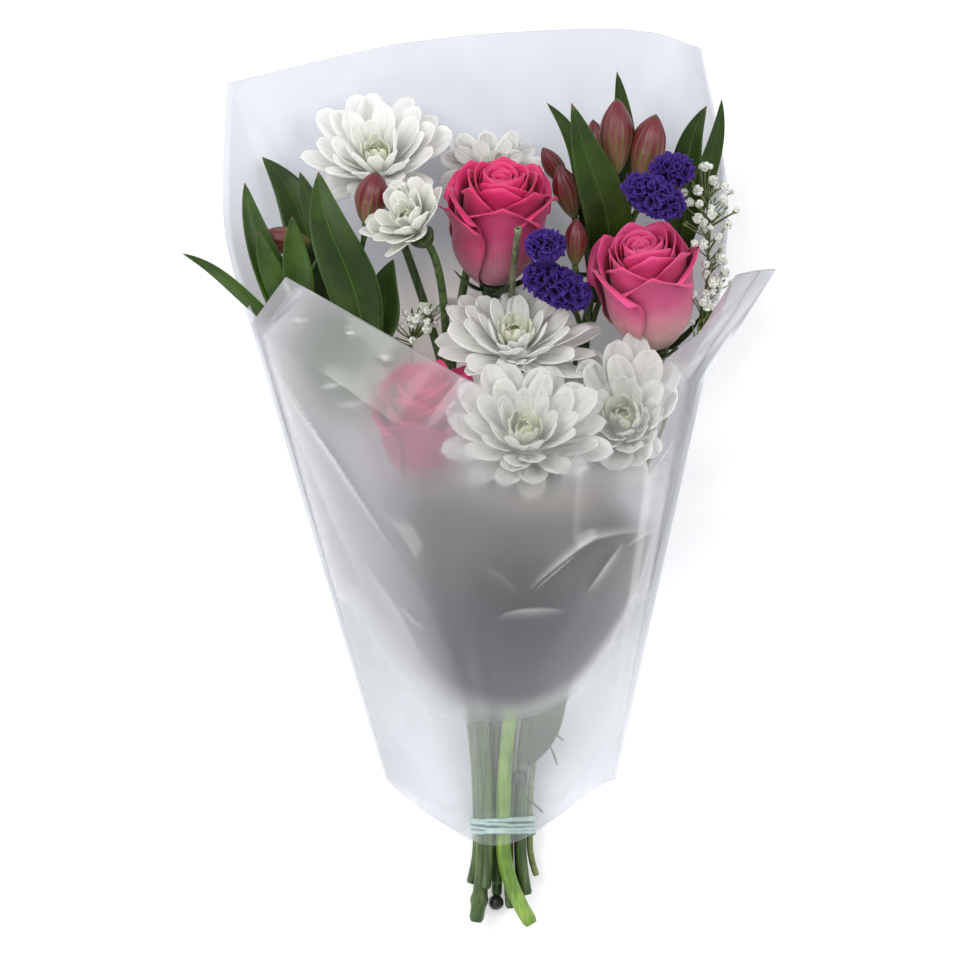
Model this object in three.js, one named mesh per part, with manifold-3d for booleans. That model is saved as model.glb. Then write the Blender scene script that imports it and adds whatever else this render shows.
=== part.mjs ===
// Mixed flower bouquet in a film sleeve, lying on the sleeve's back sheet.
// Millimetres, +Z up off the table, +Y from the cut stems to the blooms, +X to the right as seen
// from above with the stems towards the viewer. The origin is under the middle of the bouquet.
//
// The cut stems are bound together near their lower ends. From there each one runs up through the
// sleeve to its own bloom, so a stem is given by its place in the bundle (its slot), its cut end
// and the bloom that it carries.
import * as THREE from "three";
import { mergeVertices } from "three/addons/utils/BufferGeometryUtils.js";
import Module from "manifold-3d";

const wasm = await Module();
wasm.setup();

// ---------- driving dimensions ----------

const TOP_Y = 227; // highest point of the back sheet, and with FOOT_Y the bouquet's length
const FOOT_Y = -227; // cut end of the longest stem
const TOUCH_GAP = 0.3; // clearance left between two pieces that touch
const FILM = 0.8; // sleeve film, drawn thicker than life so that it is a sound solid

// The sleeve is two sheets sealed along both sides, seen from above.
const SEAM_FOOT = { left: -47, right: 69, y: -151, z: 9 };
const SEAM_TOP = { left: [-114, 77], right: [112, 48], z: 58 };
const HEM_DIP = 33; // how far the hem hangs below the sealed corners, over the stems
const BACK_CORNER = { left: [-127, 199.5], right: [112, 217] };
const FRONT_EAR = { left: [-96, 100.5], right: [148, 104.5] };
const EAR_Z = { left: 82, right: 70 };
const NECK_Y = 41; // lowest point of the front sheet's neckline
const CROWN = 137; // height of the front sheet over the front blooms
const HEM_CROWN = 29; // and over the bound stems

// Where the stems are bound: the middle of the bundle, and the rubber band round it.
const TIE = { x: 12, y: -176 };
const BAND = { width: 12, thickness: 1.5 };

// The bundle's cross-section where it is bound: x from the middle, height, and stem radius.
const SLOTS = {
  farLeft: { x: -12.6, z: 5.7, r: 2.6 },
  lowLeft: { x: -8.0, z: 4.7, r: 1.6 },
  lowMidLeft: { x: -3.0, z: 5.7, r: 2.6 },
  lowMidRight: { x: 2.6, z: 5.7, r: 2.6 },
  lowRight: { x: 8.2, z: 5.7, r: 2.6 },
  farRight: { x: 13.6, z: 7.8, r: 1.6 },
  left: { x: -9.8, z: 12.4, r: 3.7 },
  midLeft: { x: -3.0, z: 11.4, r: 2.6 },
  midRight: { x: 2.7, z: 11.4, r: 2.6 },
  right: { x: 8.9, z: 11.7, r: 3.0 },
  topLeft: { x: -6.9, z: 18.9, r: 2.4 },
  top: { x: 0.2, z: 18.4, r: 3.8 },
};

// ---------- colours ----------

const finish = (color, roughness) =>
  new THREE.MeshStandardMaterial({ color, roughness, metalness: 0 });
const filmClear = Object.assign(finish(0xe4e8f0, 0.25), { transparent: true, opacity: 0.35 });
const filmFrosted = Object.assign(finish(0xd2d2da, 0.5), { transparent: true, opacity: 0.7 });
const bandTeal = finish(0x8fc4bd, 0.45);
const rosePink = finish(0xe8488c, 0.55);
const mumWhite = finish(0xf3f4ea, 0.6);
const leafGreen = finish(0x33591c, 0.5);
const stemGreen = finish(0x5b7f35, 0.5);
const budRed = finish(0xa83f55, 0.5);
const staticeViolet = finish(0x3d1fa3, 0.8);
const gypsophilaWhite = finish(0xe9ece0, 0.7);

// ---------- geometry helpers ----------

const vec = (x, y, z) => new THREE.Vector3(x, y, z);
const at = (p) => vec(...p);
const up = vec(0, 0, 1);
const { lerp, smoothstep, degToRad, clamp } = THREE.MathUtils;

// A seeded draw in 0..1, so that every build is the same.
function dice(seed) {
  let state = seed;
  return () => {
    state = (state * 1664525 + 1013904223) % 4294967296;
    return state / 4294967296;
  };
}

// A solid from points and triangles, turned to face outwards.
function solidOf(points, triangles) {
  let volume = 0;
  for (const [a, b, c] of triangles)
    volume += points[a].dot(points[b].clone().cross(points[c]));
  const facing = volume < 0 ? triangles.map(([a, b, c]) => [a, c, b]) : triangles;
  const mesh = new wasm.Mesh({
    numProp: 3,
    vertProperties: new Float32Array(points.flatMap((p) => p.toArray())),
    triVerts: new Uint32Array(facing.flat()),
  });
  return new wasm.Manifold(mesh);
}

// A solid from one of three.js's own closed geometries.
function solidOfGeometry(geometry) {
  geometry.deleteAttribute("normal");
  geometry.deleteAttribute("uv");
  const merged = mergeVertices(geometry, 1e-4);
  return new wasm.Manifold(
    new wasm.Mesh({
      numProp: 3,
      vertProperties: merged.attributes.position.array,
      triVerts: new Uint32Array(merged.index.array),
    }),
  );
}

// Several solids grown together as one; a loose scrap is dropped.
function fuse(solids) {
  const bodies = wasm.Manifold.union(solids).decompose();
  return bodies.sort((a, b) => b.volume() - a.volume())[0];
}

function named(name, solid, material) {
  const { numProp, vertProperties, triVerts } = solid.getMesh();
  const geometry = new THREE.BufferGeometry();
  geometry.setAttribute("position", new THREE.BufferAttribute(vertProperties, numProp));
  geometry.setIndex(new THREE.BufferAttribute(triVerts, 1));
  geometry.computeVertexNormals();
  const mesh = new THREE.Mesh(geometry, material);
  mesh.name = name;
  return mesh;
}

// Rings of equally many points, joined in order; each end is closed flat or drawn to a tip.
function loft(rings, startTip, endTip) {
  const n = rings[0].length;
  const points = rings.flat();
  const triangles = [];
  for (let i = 0; i + 1 < rings.length; i++)
    for (let j = 0; j < n; j++) {
      const a = i * n + j;
      const b = i * n + ((j + 1) % n);
      triangles.push([a, b, b + n], [a, b + n, a + n]);
    }
  const close = (first, tip, turned) => {
    const rim = Array.from({ length: n }, (_, j) => first + j);
    if (tip) {
      points.push(tip);
      rim.forEach((a, j) => {
        const b = rim[(j + 1) % n];
        triangles.push(turned ? [a, b, points.length - 1] : [b, a, points.length - 1]);
      });
      return;
    }
    for (let j = 1; j + 1 < n; j++)
      triangles.push(turned ? [rim[0], rim[j], rim[j + 1]] : [rim[0], rim[j + 1], rim[j]]);
  };
  close(0, startTip, false);
  close((rings.length - 1) * n, endTip, true);
  return solidOf(points, triangles);
}

// A round stem through points, with a radius at each. The ends are square to the tangents there.
function tube(points, radii, sides = 6, ends = {}) {
  const side = vec(1, 0, 0);
  const last = points.length - 1;
  const rings = points.map((p, i) => {
    const chord = points[Math.min(i + 1, last)].clone().sub(points[Math.max(i - 1, 0)]);
    const along = ((i === last && ends.arrive) || chord).clone().normalize();
    side.addScaledVector(along, -side.dot(along)).normalize();
    const other = along.clone().cross(side);
    return Array.from({ length: sides }, (_, j) => {
      const a = (2 * Math.PI * j) / sides;
      return p
        .clone()
        .addScaledVector(side, radii[i] * Math.cos(a))
        .addScaledVector(other, radii[i] * Math.sin(a));
    });
  });
  return loft(rings);
}

// A leaf or a narrow petal: a thin lens section, folded up a little along its midrib.
// The last point of the spine is the tip. `face` is the way that the upper side looks.
function blade(spine, halfWidths, face, cup = 0.25, thickness = 1) {
  const rings = spine.slice(0, -1).map((p, i) => {
    const along = spine[i + 1].clone().sub(spine[Math.max(i - 1, 0)]).normalize();
    const normal = face.clone().addScaledVector(along, -face.dot(along)).normalize();
    const across = along.clone().cross(normal);
    const w = halfWidths[i];
    return [
      p.clone().addScaledVector(across, -w).addScaledVector(normal, cup * w),
      p.clone().addScaledVector(normal, thickness / 2),
      p.clone().addScaledVector(across, w).addScaledVector(normal, cup * w),
      p.clone().addScaledVector(normal, -thickness / 2),
    ];
  });
  return loft(rings, null, spine[spine.length - 1]);
}

// A narrow petal: a shallow boat section with a keel, blunt towards the tip.
function boat(spine, halfWidths, face, cup, thickness) {
  const rings = spine.slice(0, -1).map((p, i) => {
    const along = spine[i + 1].clone().sub(spine[Math.max(i - 1, 0)]).normalize();
    const normal = face.clone().addScaledVector(along, -face.dot(along)).normalize();
    const across = along.clone().cross(normal);
    const w = halfWidths[i];
    return [
      p.clone().addScaledVector(across, -w).addScaledVector(normal, cup * w),
      p.clone().addScaledVector(across, w).addScaledVector(normal, cup * w),
      p.clone().addScaledVector(normal, -thickness),
    ];
  });
  return loft(rings, null, spine[spine.length - 1]);
}

function gridNormals(grid) {
  return grid.map((row, i) =>
    row.map((_, j) => {
      const du = grid[Math.min(i + 1, grid.length - 1)][j]
        .clone()
        .sub(grid[Math.max(i - 1, 0)][j]);
      const dv = row[Math.min(j + 1, row.length - 1)].clone().sub(row[Math.max(j - 1, 0)]);
      return du.cross(dv).normalize();
    }),
  );
}

// The two triangles of each cell of a grid, with the corner cells split through the corner.
function gridTriangles(rows, columns, index) {
  const triangles = [];
  for (let i = 0; i + 1 < rows; i++)
    for (let j = 0; j + 1 < columns; j++) {
      const [a, b, c, d] = [index(i, j), index(i + 1, j), index(i + 1, j + 1), index(i, j + 1)];
      const otherWay = (i === 0 && j === columns - 2) || (i === rows - 2 && j === 0);
      if (otherWay) triangles.push([a, b, d], [b, c, d]);
      else triangles.push([a, b, c], [a, c, d]);
    }
  return triangles;
}

// A broad petal over a grid of points: thick in the middle, with one sharp rim all round.
function petal(grid, thickness) {
  const rows = grid.length;
  const columns = grid[0].length;
  const normals = gridNormals(grid);
  const points = [];
  const upper = new Map();
  const lower = new Map();
  const key = (i, j) => i * columns + j;
  grid.forEach((row, i) =>
    row.forEach((p, j) => {
      const rim = i === 0 || j === 0 || i === rows - 1 || j === columns - 1;
      const half = rim ? 0 : thickness / 2;
      upper.set(key(i, j), points.push(p.clone().addScaledVector(normals[i][j], half)) - 1);
      if (rim) lower.set(key(i, j), upper.get(key(i, j)));
      else
        lower.set(key(i, j), points.push(p.clone().addScaledVector(normals[i][j], -half)) - 1);
    }),
  );
  const over = gridTriangles(rows, columns, (i, j) => upper.get(key(i, j)));
  const under = gridTriangles(rows, columns, (i, j) => lower.get(key(i, j)));
  return solidOf(points, [...over, ...under.map(([a, b, c]) => [a, c, b])]);
}

// A film sheet over a grid of points, as thick everywhere, with a squared rim.
function sheet(grid, thickness) {
  const rows = grid.length;
  const columns = grid[0].length;
  const normals = gridNormals(grid);
  const flip = normals[Math.floor(rows / 2)][Math.floor(columns / 2)].z < 0 ? -1 : 1;
  const low = grid.flat();
  const high = grid.flatMap((row, i) =>
    row.map((p, j) => p.clone().addScaledVector(normals[i][j], flip * thickness)),
  );
  const n = low.length;
  const under = gridTriangles(rows, columns, (i, j) => i * columns + j);
  const rim = [];
  for (let j = 0; j < columns - 1; j++) rim.push(j);
  for (let i = 0; i < rows - 1; i++) rim.push(i * columns + columns - 1);
  for (let j = columns - 1; j > 0; j--) rim.push((rows - 1) * columns + j);
  for (let i = rows - 1; i > 0; i--) rim.push(i * columns);
  const wall = rim.flatMap((a, k) => {
    const b = rim[(k + 1) % rim.length];
    return [
      [a, b, b + n],
      [a, b + n, a + n],
    ];
  });
  const over = under.map(([a, b, c]) => [a + n, c + n, b + n]);
  return solidOf([...low, ...high], [...under, ...over, ...wall]);
}

// A bloom's own frame: local z is the way it faces, local y leans towards the bouquet's top.
function facing(origin, axis, spin = 0) {
  const z = axis.clone().normalize();
  const y = vec(0, 1, 0).addScaledVector(z, -z.y).normalize();
  const x = y.clone().cross(z);
  return new THREE.Matrix4()
    .makeBasis(x, y, z)
    .setPosition(origin)
    .multiply(new THREE.Matrix4().makeRotationZ(spin));
}

// The way a bloom faces: tilted from straight up towards +Y, and sideways towards +X.
function tilted(towardsTop, towardsRight = 0) {
  return vec(
    Math.sin(degToRad(towardsRight)),
    Math.sin(degToRad(towardsTop)),
    Math.cos(degToRad(towardsTop)),
  ).normalize();
}

const polar = (radius, angle, z) => vec(radius * Math.cos(angle), radius * Math.sin(angle), z);

// ---------- the sleeve ----------

// A side edge of a sheet: up the sealed seam for the share `sealed` of its rows, then free.
function sideEdge(side, sealed, free) {
  const foot = new THREE.Vector2(SEAM_FOOT[side], SEAM_FOOT.y);
  const end = new THREE.Vector2(...SEAM_TOP[side]);
  const beyond = new THREE.SplineCurve([end, ...flat(free)]);
  return (v) =>
    v <= sealed ? foot.clone().lerp(end, v / sealed) : beyond.getPoint((v - sealed) / (1 - sealed));
}

const flat = (points) => points.map(([x, y]) => new THREE.Vector2(x, y));

// The hem sags between the two sealed corners.
function hem(share) {
  const sag = Math.pow(Math.sin(Math.PI * clamp(share * 1.04 - 0.02, 0, 1)), 1.6);
  return new THREE.Vector2(
    lerp(SEAM_FOOT.left, SEAM_FOOT.right, share),
    SEAM_FOOT.y - HEM_DIP * sag,
  );
}

// Spaces the columns of a patch closer towards its sides, where the film turns most.
const crowded = (s) => Math.sin(s * 1.4) / Math.sin(1.4);

// A patch between a foot, a top, a left and a right edge.
function patch(foot, top, left, right, rows, columns, height) {
  const corner = { a: foot(0), b: foot(1), c: top(0), d: top(1) };
  return Array.from({ length: rows }, (_, i) => {
    const v = i / (rows - 1);
    return Array.from({ length: columns }, (_, j) => {
      const u = 0.5 + 0.5 * crowded((2 * j) / (columns - 1) - 1);
      const [f, t, l, r] = [foot(u), top(u), left(v), right(v)];
      const blend = (k) =>
        lerp(f[k], t[k], v) +
        lerp(l[k], r[k], u) -
        lerp(lerp(corner.a[k], corner.b[k], u), lerp(corner.c[k], corner.d[k], u), v);
      const [x, y] = [blend("x"), blend("y")];
      return vec(x, y, height(x, y, 2 * u - 1, v));
    });
  });
}

// The back sheet lies flat on the table in the middle and curls up to the seams at its sides.
function backSheet() {
  const ROWS = 11;
  const SEALED = 6 / (ROWS - 1); // share of the rows that are sealed to the front sheet
  const FLAT_SHARE = 0.55; // of the half width that touches the table
  const CURL_TOP = 14; // height of the side edges at the top corners
  const left = sideEdge("left", SEALED, [[-128, 128], BACK_CORNER.left]);
  const right = sideEdge("right", SEALED, [[125, 134], BACK_CORNER.right]);
  const top = new THREE.SplineCurve(
    flat([BACK_CORNER.left, [-40, 220], [40, TOP_Y], [85, 226], BACK_CORNER.right]),
  );
  const height = (x, y, s, v) => {
    const seam = lerp(SEAM_FOOT.z, SEAM_TOP.z, Math.min(v / SEALED, 1)) - FILM - TOUCH_GAP;
    const edge = lerp(seam, CURL_TOP, smoothstep(v, SEALED, 1));
    const beyond = Math.max(0, (Math.abs(s) - FLAT_SHARE) / (1 - FLAT_SHARE));
    return edge * beyond * beyond;
  };
  return sheet(patch(hem, (u) => top.getPoint(u), left, right, ROWS, 11, height), FILM);
}

// The front sheet rises from the seams over the blooms, and has a free ear at each side.
function frontSheet() {
  const ROWS = 13;
  const SEALED = 11 / (ROWS - 1);
  const left = sideEdge("left", SEALED, [FRONT_EAR.left]);
  const right = sideEdge("right", SEALED, [FRONT_EAR.right]);
  const neck = new THREE.SplineCurve(
    flat([FRONT_EAR.left, [-27, 61], [0, 47], [33, NECK_Y], [62, 47], [90, 58], FRONT_EAR.right]),
  );
  const height = (x, y, s, v) => {
    const side = Math.abs(s);
    const sealed = lerp(SEAM_FOOT.z, SEAM_TOP.z, Math.min(v / SEALED, 1));
    const edge = v > SEALED ? (s < 0 ? EAR_Z.left : EAR_Z.right) : sealed;
    const crown = lerp(HEM_CROWN, CROWN, Math.pow(smoothstep(v, 0, 0.72), 0.85));
    const overStems = 1 / (1 + Math.pow(side / 0.5, 4)) - 1 / 17;
    const overBlooms = Math.pow(Math.max(0, 1 - Math.pow(side, 6)), 0.55);
    const arch = lerp(overStems, overBlooms, smoothstep(v, 0, 0.45));
    return edge + (crown - edge) * arch;
  };
  return sheet(patch(hem, (u) => neck.getPoint(u), left, right, ROWS, 13, height), FILM);
}

// ---------- stems and what binds them ----------

const LOWEST_STEM = 5; // no bend takes the middle of a stem lower than this

const slotPoint = (slot, y = TIE.y) => vec(TIE.x + slot.x, y, slot.z);

// The rubber band follows the outside of the bundle.
function tieBand() {
  const STEPS = 24;
  const outline = (offset) =>
    Array.from({ length: STEPS }, (_, k) => {
      const a = (2 * Math.PI * k) / STEPS;
      const [dx, dz] = [Math.cos(a), Math.sin(a)];
      const reach = (s) => s.x * dx + s.z * dz + s.r;
      const outer = Object.values(SLOTS).reduce((m, s) => (reach(s) > reach(m) ? s : m));
      const r = outer.r + offset;
      return [TIE.x + outer.x + r * dx, outer.z + r * dz];
    });
  const inner = outline(TOUCH_GAP);
  const outer = outline(TOUCH_GAP + BAND.thickness);
  const half = BAND.width / 2;
  const rings = inner.map(([x, z], k) => {
    const [ox, oz] = outer[k];
    return [
      vec(x, TIE.y - half, z),
      vec(ox, TIE.y - half, oz),
      vec(ox, TIE.y + half, oz),
      vec(x, TIE.y + half, z),
    ];
  });
  const points = rings.flat();
  const triangles = [];
  for (let i = 0; i < STEPS; i++)
    for (let j = 0; j < 4; j++) {
      const [a, b] = [i * 4 + j, i * 4 + ((j + 1) % 4)];
      const [c, d] = [((i + 1) % STEPS) * 4 + j, ((i + 1) % STEPS) * 4 + ((j + 1) % 4)];
      triangles.push([a, b, d], [a, d, c]);
    }
  return solidOf(points, triangles);
}

// The centre line of a stem: cut end, straight through the band, then a bend to what it carries.
// `arrive` is the way that it runs where it meets the bloom.
function stemLine(slot, foot, head, arrive, steps = 8) {
  const low = slotPoint(slot, TIE.y - BAND.width / 2 - 1);
  const high = slotPoint(slot, TIE.y + BAND.width / 2 + 1);
  const reach = head.distanceTo(high);
  const below = new THREE.QuadraticBezierCurve3(
    foot,
    low.clone().add(vec(0, (foot.y - low.y) * 0.45, 0)),
    low,
  );
  const above = new THREE.CubicBezierCurve3(
    high,
    high.clone().add(vec(0, reach * 0.42, 0)),
    head.clone().addScaledVector(arrive.clone().normalize(), -reach * 0.16),
    head,
  );
  return [...below.getPoints(2), ...above.getPoints(steps)];
}

function stemAlong(line, slot, headRadius, sides = 6) {
  const head = line[line.length - 1];
  const radii = line.map((p) =>
    lerp(slot.r, headRadius, clamp((p.y - TIE.y) / Math.max(1, head.y - TIE.y), 0, 1)),
  );
  return tube(line, radii, sides);
}

// The point of a centre line at a given y.
function pointAt(line, y) {
  const i = line.findIndex((p, k) => k + 1 < line.length && p.y <= y && y <= line[k + 1].y);
  return line[i].clone().lerp(line[i + 1], (y - line[i].y) / (line[i + 1].y - line[i].y));
}

// A side shoot from one point to another, leaving along one way and arriving along another.
function shoot(from, to, leave, arrive, [r0, r1], steps = 4, sides = 5, longestBend = 22) {
  const reach = from.distanceTo(to);
  const room = (to.z - LOWEST_STEM) / Math.max(arrive.z, 0.01);
  const bend = Math.min(reach * 0.35, longestBend, room);
  const curve = new THREE.CubicBezierCurve3(
    from,
    from.clone().addScaledVector(leave.clone().normalize(), reach * 0.35),
    to.clone().addScaledVector(arrive.clone().normalize(), -bend),
    to,
  );
  const line = curve.getPoints(steps);
  return tube(line, line.map((_, i) => lerp(r0, r1, i / steps)), sides, { arrive });
}

// A lance-shaped leaf from its foot to its tip, bowed sideways or off its face by `bow`.
function lanceLeaf(foot, tip, halfWidth, face, bow = vec(0, 0, 0), cup = 0.3) {
  const STATIONS = [0, 0.2, 0.44, 0.68, 0.87, 1];
  const WIDTHS = [0.1, 0.66, 1, 0.82, 0.42];
  const middle = foot.clone().lerp(tip, 0.5).add(bow);
  const curve = new THREE.QuadraticBezierCurve3(foot, middle, tip);
  return blade(
    STATIONS.map((t) => curve.getPoint(t)),
    WIDTHS.map((w) => w * halfWidth),
    face,
    cup,
  );
}

// Leaves of a stem, each given by how far up the stem it leaves, its tip, half width, the way
// that its upper side faces, and how it bows.
function leavesOf(line, leaves) {
  return leaves.map(({ at: y, tip, half, face = [0, 0, 1], bow = [0, 0, 0] }) =>
    lanceLeaf(pointAt(line, y), at(tip), half, at(face), at(bow)),
  );
}

// ---------- roses ----------

const ROSE = { length: 60, radius: 24 };
// Each layer of petals: how many, how high, their radius at the foot, belly and lip, how far
// round each reaches, and where the first one is.
const ROSE_LAYERS = [
  { count: 3, high: 0.96, foot: 0.16, belly: 0.42, lip: 0.38, reach: 78, turn: 20, rows: [0, 0.5, 1], columns: 4 },
  { count: 4, high: 1.0, foot: 0.22, belly: 0.68, lip: 0.68, reach: 60, turn: 65, rows: [0, 0.5, 1], columns: 4 },
  { count: 5, high: 0.9, foot: 0.28, belly: 0.94, lip: 1.07, reach: 47, turn: 0, rows: [0, 0.2, 0.66, 1], columns: 5 },
];

function rosePetal(layer, turn) {
  const { length, radius } = ROSE;
  const rows = layer.rows.map((t) => {
    const belly = Math.sin((Math.min(t / 0.5, 1) * Math.PI) / 2) ** 0.7;
    const open = smoothstep(t, 0.55, 1);
    const r = lerp(lerp(layer.foot, layer.belly, belly), layer.lip, open) * radius;
    const spread = degToRad(layer.reach) * (0.45 + 0.55 * Math.sin(Math.min(t * 1.5, 1) * 1.57));
    return Array.from({ length: layer.columns }, (_, j) => {
      const s = (2 * j) / (layer.columns - 1) - 1;
      const drop = 0.09 * s * s * t * t;
      const tuck = 1.5 * s * Math.min(1, t * 2);
      const high = length * layer.high * (t - drop) + 1.2;
      return polar(r + tuck, turn + s * spread, high);
    });
  });
  return petal(rows, 1.3);
}

function roseBloom({ origin, axis, spin }) {
  const { length, radius } = ROSE;
  const profile = [
    [0, 0],
    [0.3, 0],
    [0.36, 0.1 * length],
    [0.26, 0.5 * length],
    [0.13, 0.88 * length],
    [0, 0.92 * length],
  ].map(([r, z]) => new THREE.Vector2(r * radius, z));
  const core = solidOfGeometry(new THREE.LatheGeometry(profile, 8).rotateX(Math.PI / 2));
  const petals = ROSE_LAYERS.flatMap((layer) =>
    Array.from({ length: layer.count }, (_, k) =>
      rosePetal(layer, degToRad(layer.turn) + (2 * Math.PI * k) / layer.count),
    ),
  );
  return fuse([core, ...petals]).transform(facing(origin, axis, spin).elements);
}

// The green cup under a rose, with its five sepals, and the leafy stem below it.
function roseStem({ slot, foot, origin, axis, spin, leaves = [] }) {
  const { radius } = ROSE;
  const profile = [
    [0, -12],
    [2.4, -12],
    [5.2, -7],
    [0.3 * radius, -TOUCH_GAP],
    [0, -TOUCH_GAP],
  ].map(([r, z]) => new THREE.Vector2(r, z));
  const cup = solidOfGeometry(new THREE.LatheGeometry(profile, 6).rotateX(Math.PI / 2));
  const SEPAL = [
    [4.5, -3.5],
    [11.5, -3],
    [19.5, 2],
    [23.5, 12],
  ];
  const sepals = Array.from({ length: 5 }, (_, k) => {
    const spine = SEPAL.map(([r, z]) => polar(r, (2 * Math.PI * (k + 0.25)) / 5, z));
    return blade(spine, [2.2, 3.4, 2.2], up, 0.2, 1);
  });
  const head = [cup, ...sepals].map((s) => s.transform(facing(origin, axis, spin).elements));
  const neck = origin.clone().addScaledVector(axis.clone().normalize(), -10);
  const line = stemLine(slot, foot, neck, axis);
  return fuse([stemAlong(line, slot, 2.3), ...head, ...leavesOf(line, leaves)]);
}

// ---------- chrysanthemums ----------

// Rings of petals from the outside in: how many, how long, how steep, and how wide.
const MUM_RINGS = [
  { count: 12, long: 1.0, steep: 12, wide: 0.135, stations: [0.2, 0.5, 0.84, 1] },
  { count: 9, long: 0.82, steep: 31, wide: 0.12, stations: [0.22, 0.76, 1] },
  { count: 7, long: 0.56, steep: 51, wide: 0.08, stations: [0.25, 0.75, 1] },
  { count: 4, long: 0.38, steep: 72, wide: 0.05, stations: [0.5, 0.8, 1] },
];

// `trims` shorten the petals that point one way, where the bloom is pressed by what is beside it.
function mumBloom({ eye, axis, radius, spin = 0, seed, close = 0, fullness = 1, trims = [] }) {
  const draw = dice(seed);
  const core = solidOfGeometry(new THREE.SphereGeometry(0.24 * radius, 6, 4).rotateX(Math.PI / 2));
  const petals = MUM_RINGS.flatMap((ring, level) => {
    const count = Math.round(ring.count * fullness);
    return Array.from({ length: count }, (_, k) => {
      const turn = (2 * Math.PI * (k + 0.37 * level + 0.25 * (draw() - 0.5))) / count;
      const towards = (way) => Math.max(0, Math.cos(turn + spin - degToRad(way)));
      const trimmed = trims.reduce((m, t) => m - t.by * towards(t.turn) ** (t.sharp ?? 3), 1);
      const long = ring.long * radius * (0.95 + 0.08 * draw()) * (level < 2 ? trimmed : 1);
      const steep = degToRad(ring.steep + close + 5 * (draw() - 0.5));
      const widths = ring.stations.length === 4 ? [0.26, 0.86, 0.8] : [0.3, 0.95];
      const spine = ring.stations.map((t) => {
        const lift = steep + degToRad(12) * (t - 0.5);
        return polar(long * t * Math.cos(lift), turn, long * t * Math.sin(lift));
      });
      const inward = polar(-1, turn, 0).setZ(1 / Math.tan(Math.max(steep, 0.2)));
      return boat(spine, widths.map((w) => w * ring.wide * radius), inward, 0.35, 1.4);
    });
  });
  return fuse([core, ...petals]).transform(facing(eye, axis, spin).elements);
}

// The shallow green cup under a chrysanthemum.
const MUM_CUP_DROP = 0.24; // from the eye down to the cup's rim, as a share of the bloom's radius
function mumCup({ eye, axis, radius }) {
  const rim = -MUM_CUP_DROP * radius - TOUCH_GAP;
  const profile = [
    [0, rim - 7],
    [2, rim - 7],
    [5.5, rim - 3],
    [6, rim],
    [0, rim],
  ].map(([r, z]) => new THREE.Vector2(r, z));
  const cup = solidOfGeometry(new THREE.LatheGeometry(profile, 6).rotateX(Math.PI / 2));
  return cup.transform(facing(eye, axis).elements);
}

const mumNeck = ({ eye, axis, radius }) =>
  eye.clone().addScaledVector(axis.clone().normalize(), -MUM_CUP_DROP * radius - 5);

// One branching stem that carries several chrysanthemums; `stub` is a branch cut off short.
function mumSprayStem({ slot, foot, fork, blooms, leaves = [], stub }) {
  const away = fork.clone().sub(slotPoint(slot)).add(vec(0, 60, 0));
  const line = stemLine(slot, foot, fork, away);
  const branches = blooms.map((bloom) =>
    shoot(fork, mumNeck(bloom), away, bloom.axis, [2.3, 1.9]),
  );
  const cutBranch = stub ? [cutStub([fork, ...stub])] : [];
  return fuse([
    stemAlong(line, slot, 2.6),
    ...branches,
    ...blooms.map(mumCup),
    ...leavesOf(line, leaves),
    ...cutBranch,
  ]);
}

// A hollow branch, cut square at its end.
function cutStub(points) {
  const BORE = { radius: 1.1, depth: 7 };
  const line = new THREE.CatmullRomCurve3(points).getPoints(7);
  const end = line[line.length - 1];
  const along = end.clone().sub(line[line.length - 2]).normalize();
  const stub = tube(line, line.map(() => 1.9), 6);
  const bore = tube(
    [end.clone().addScaledVector(along, -BORE.depth), end.clone().addScaledVector(along, 1)],
    [BORE.radius, BORE.radius],
    6,
  );
  return stub.subtract(bore);
}

// ---------- alstroemeria ----------

// A closed bud: its outer sepals meet along soft ridges and close to a point.
function alstroemeriaBud({ foot, tip, radius }) {
  const axis = tip.clone().sub(foot);
  const long = axis.length();
  const PROFILE = [
    [0, 0.2],
    [0.25, 0.74],
    [0.52, 1],
    [0.78, 0.76],
  ];
  const rings = PROFILE.map(([t, w]) =>
    Array.from({ length: 6 }, (_, j) =>
      polar(radius * w * (j % 2 ? 0.84 : 1.04), (Math.PI * j) / 3, t * long),
    ),
  );
  return loft(rings, null, vec(0, 0, long)).transform(facing(foot, axis).elements);
}

// A leafy stem whose buds stand on short stalks that end just under them.
function leafyStem({ slot, foot, top, arrive, leaves, buds = [] }) {
  const line = stemLine(slot, foot, top, arrive);
  const stalks = buds.map(({ foot: seat, tip }) => {
    const axis = tip.clone().sub(seat).normalize();
    const end = seat.clone().addScaledVector(axis, -TOUCH_GAP);
    return shoot(top, end, arrive, axis, [1.3, 1.3], 3, 4);
  });
  return fuse([stemAlong(line, slot, 2.2), ...stalks, ...leavesOf(line, leaves)]);
}

// ---------- statice ----------

const STATICE_CORE = 3.4; // how far the core lies inside the outer face of the cups

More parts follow.
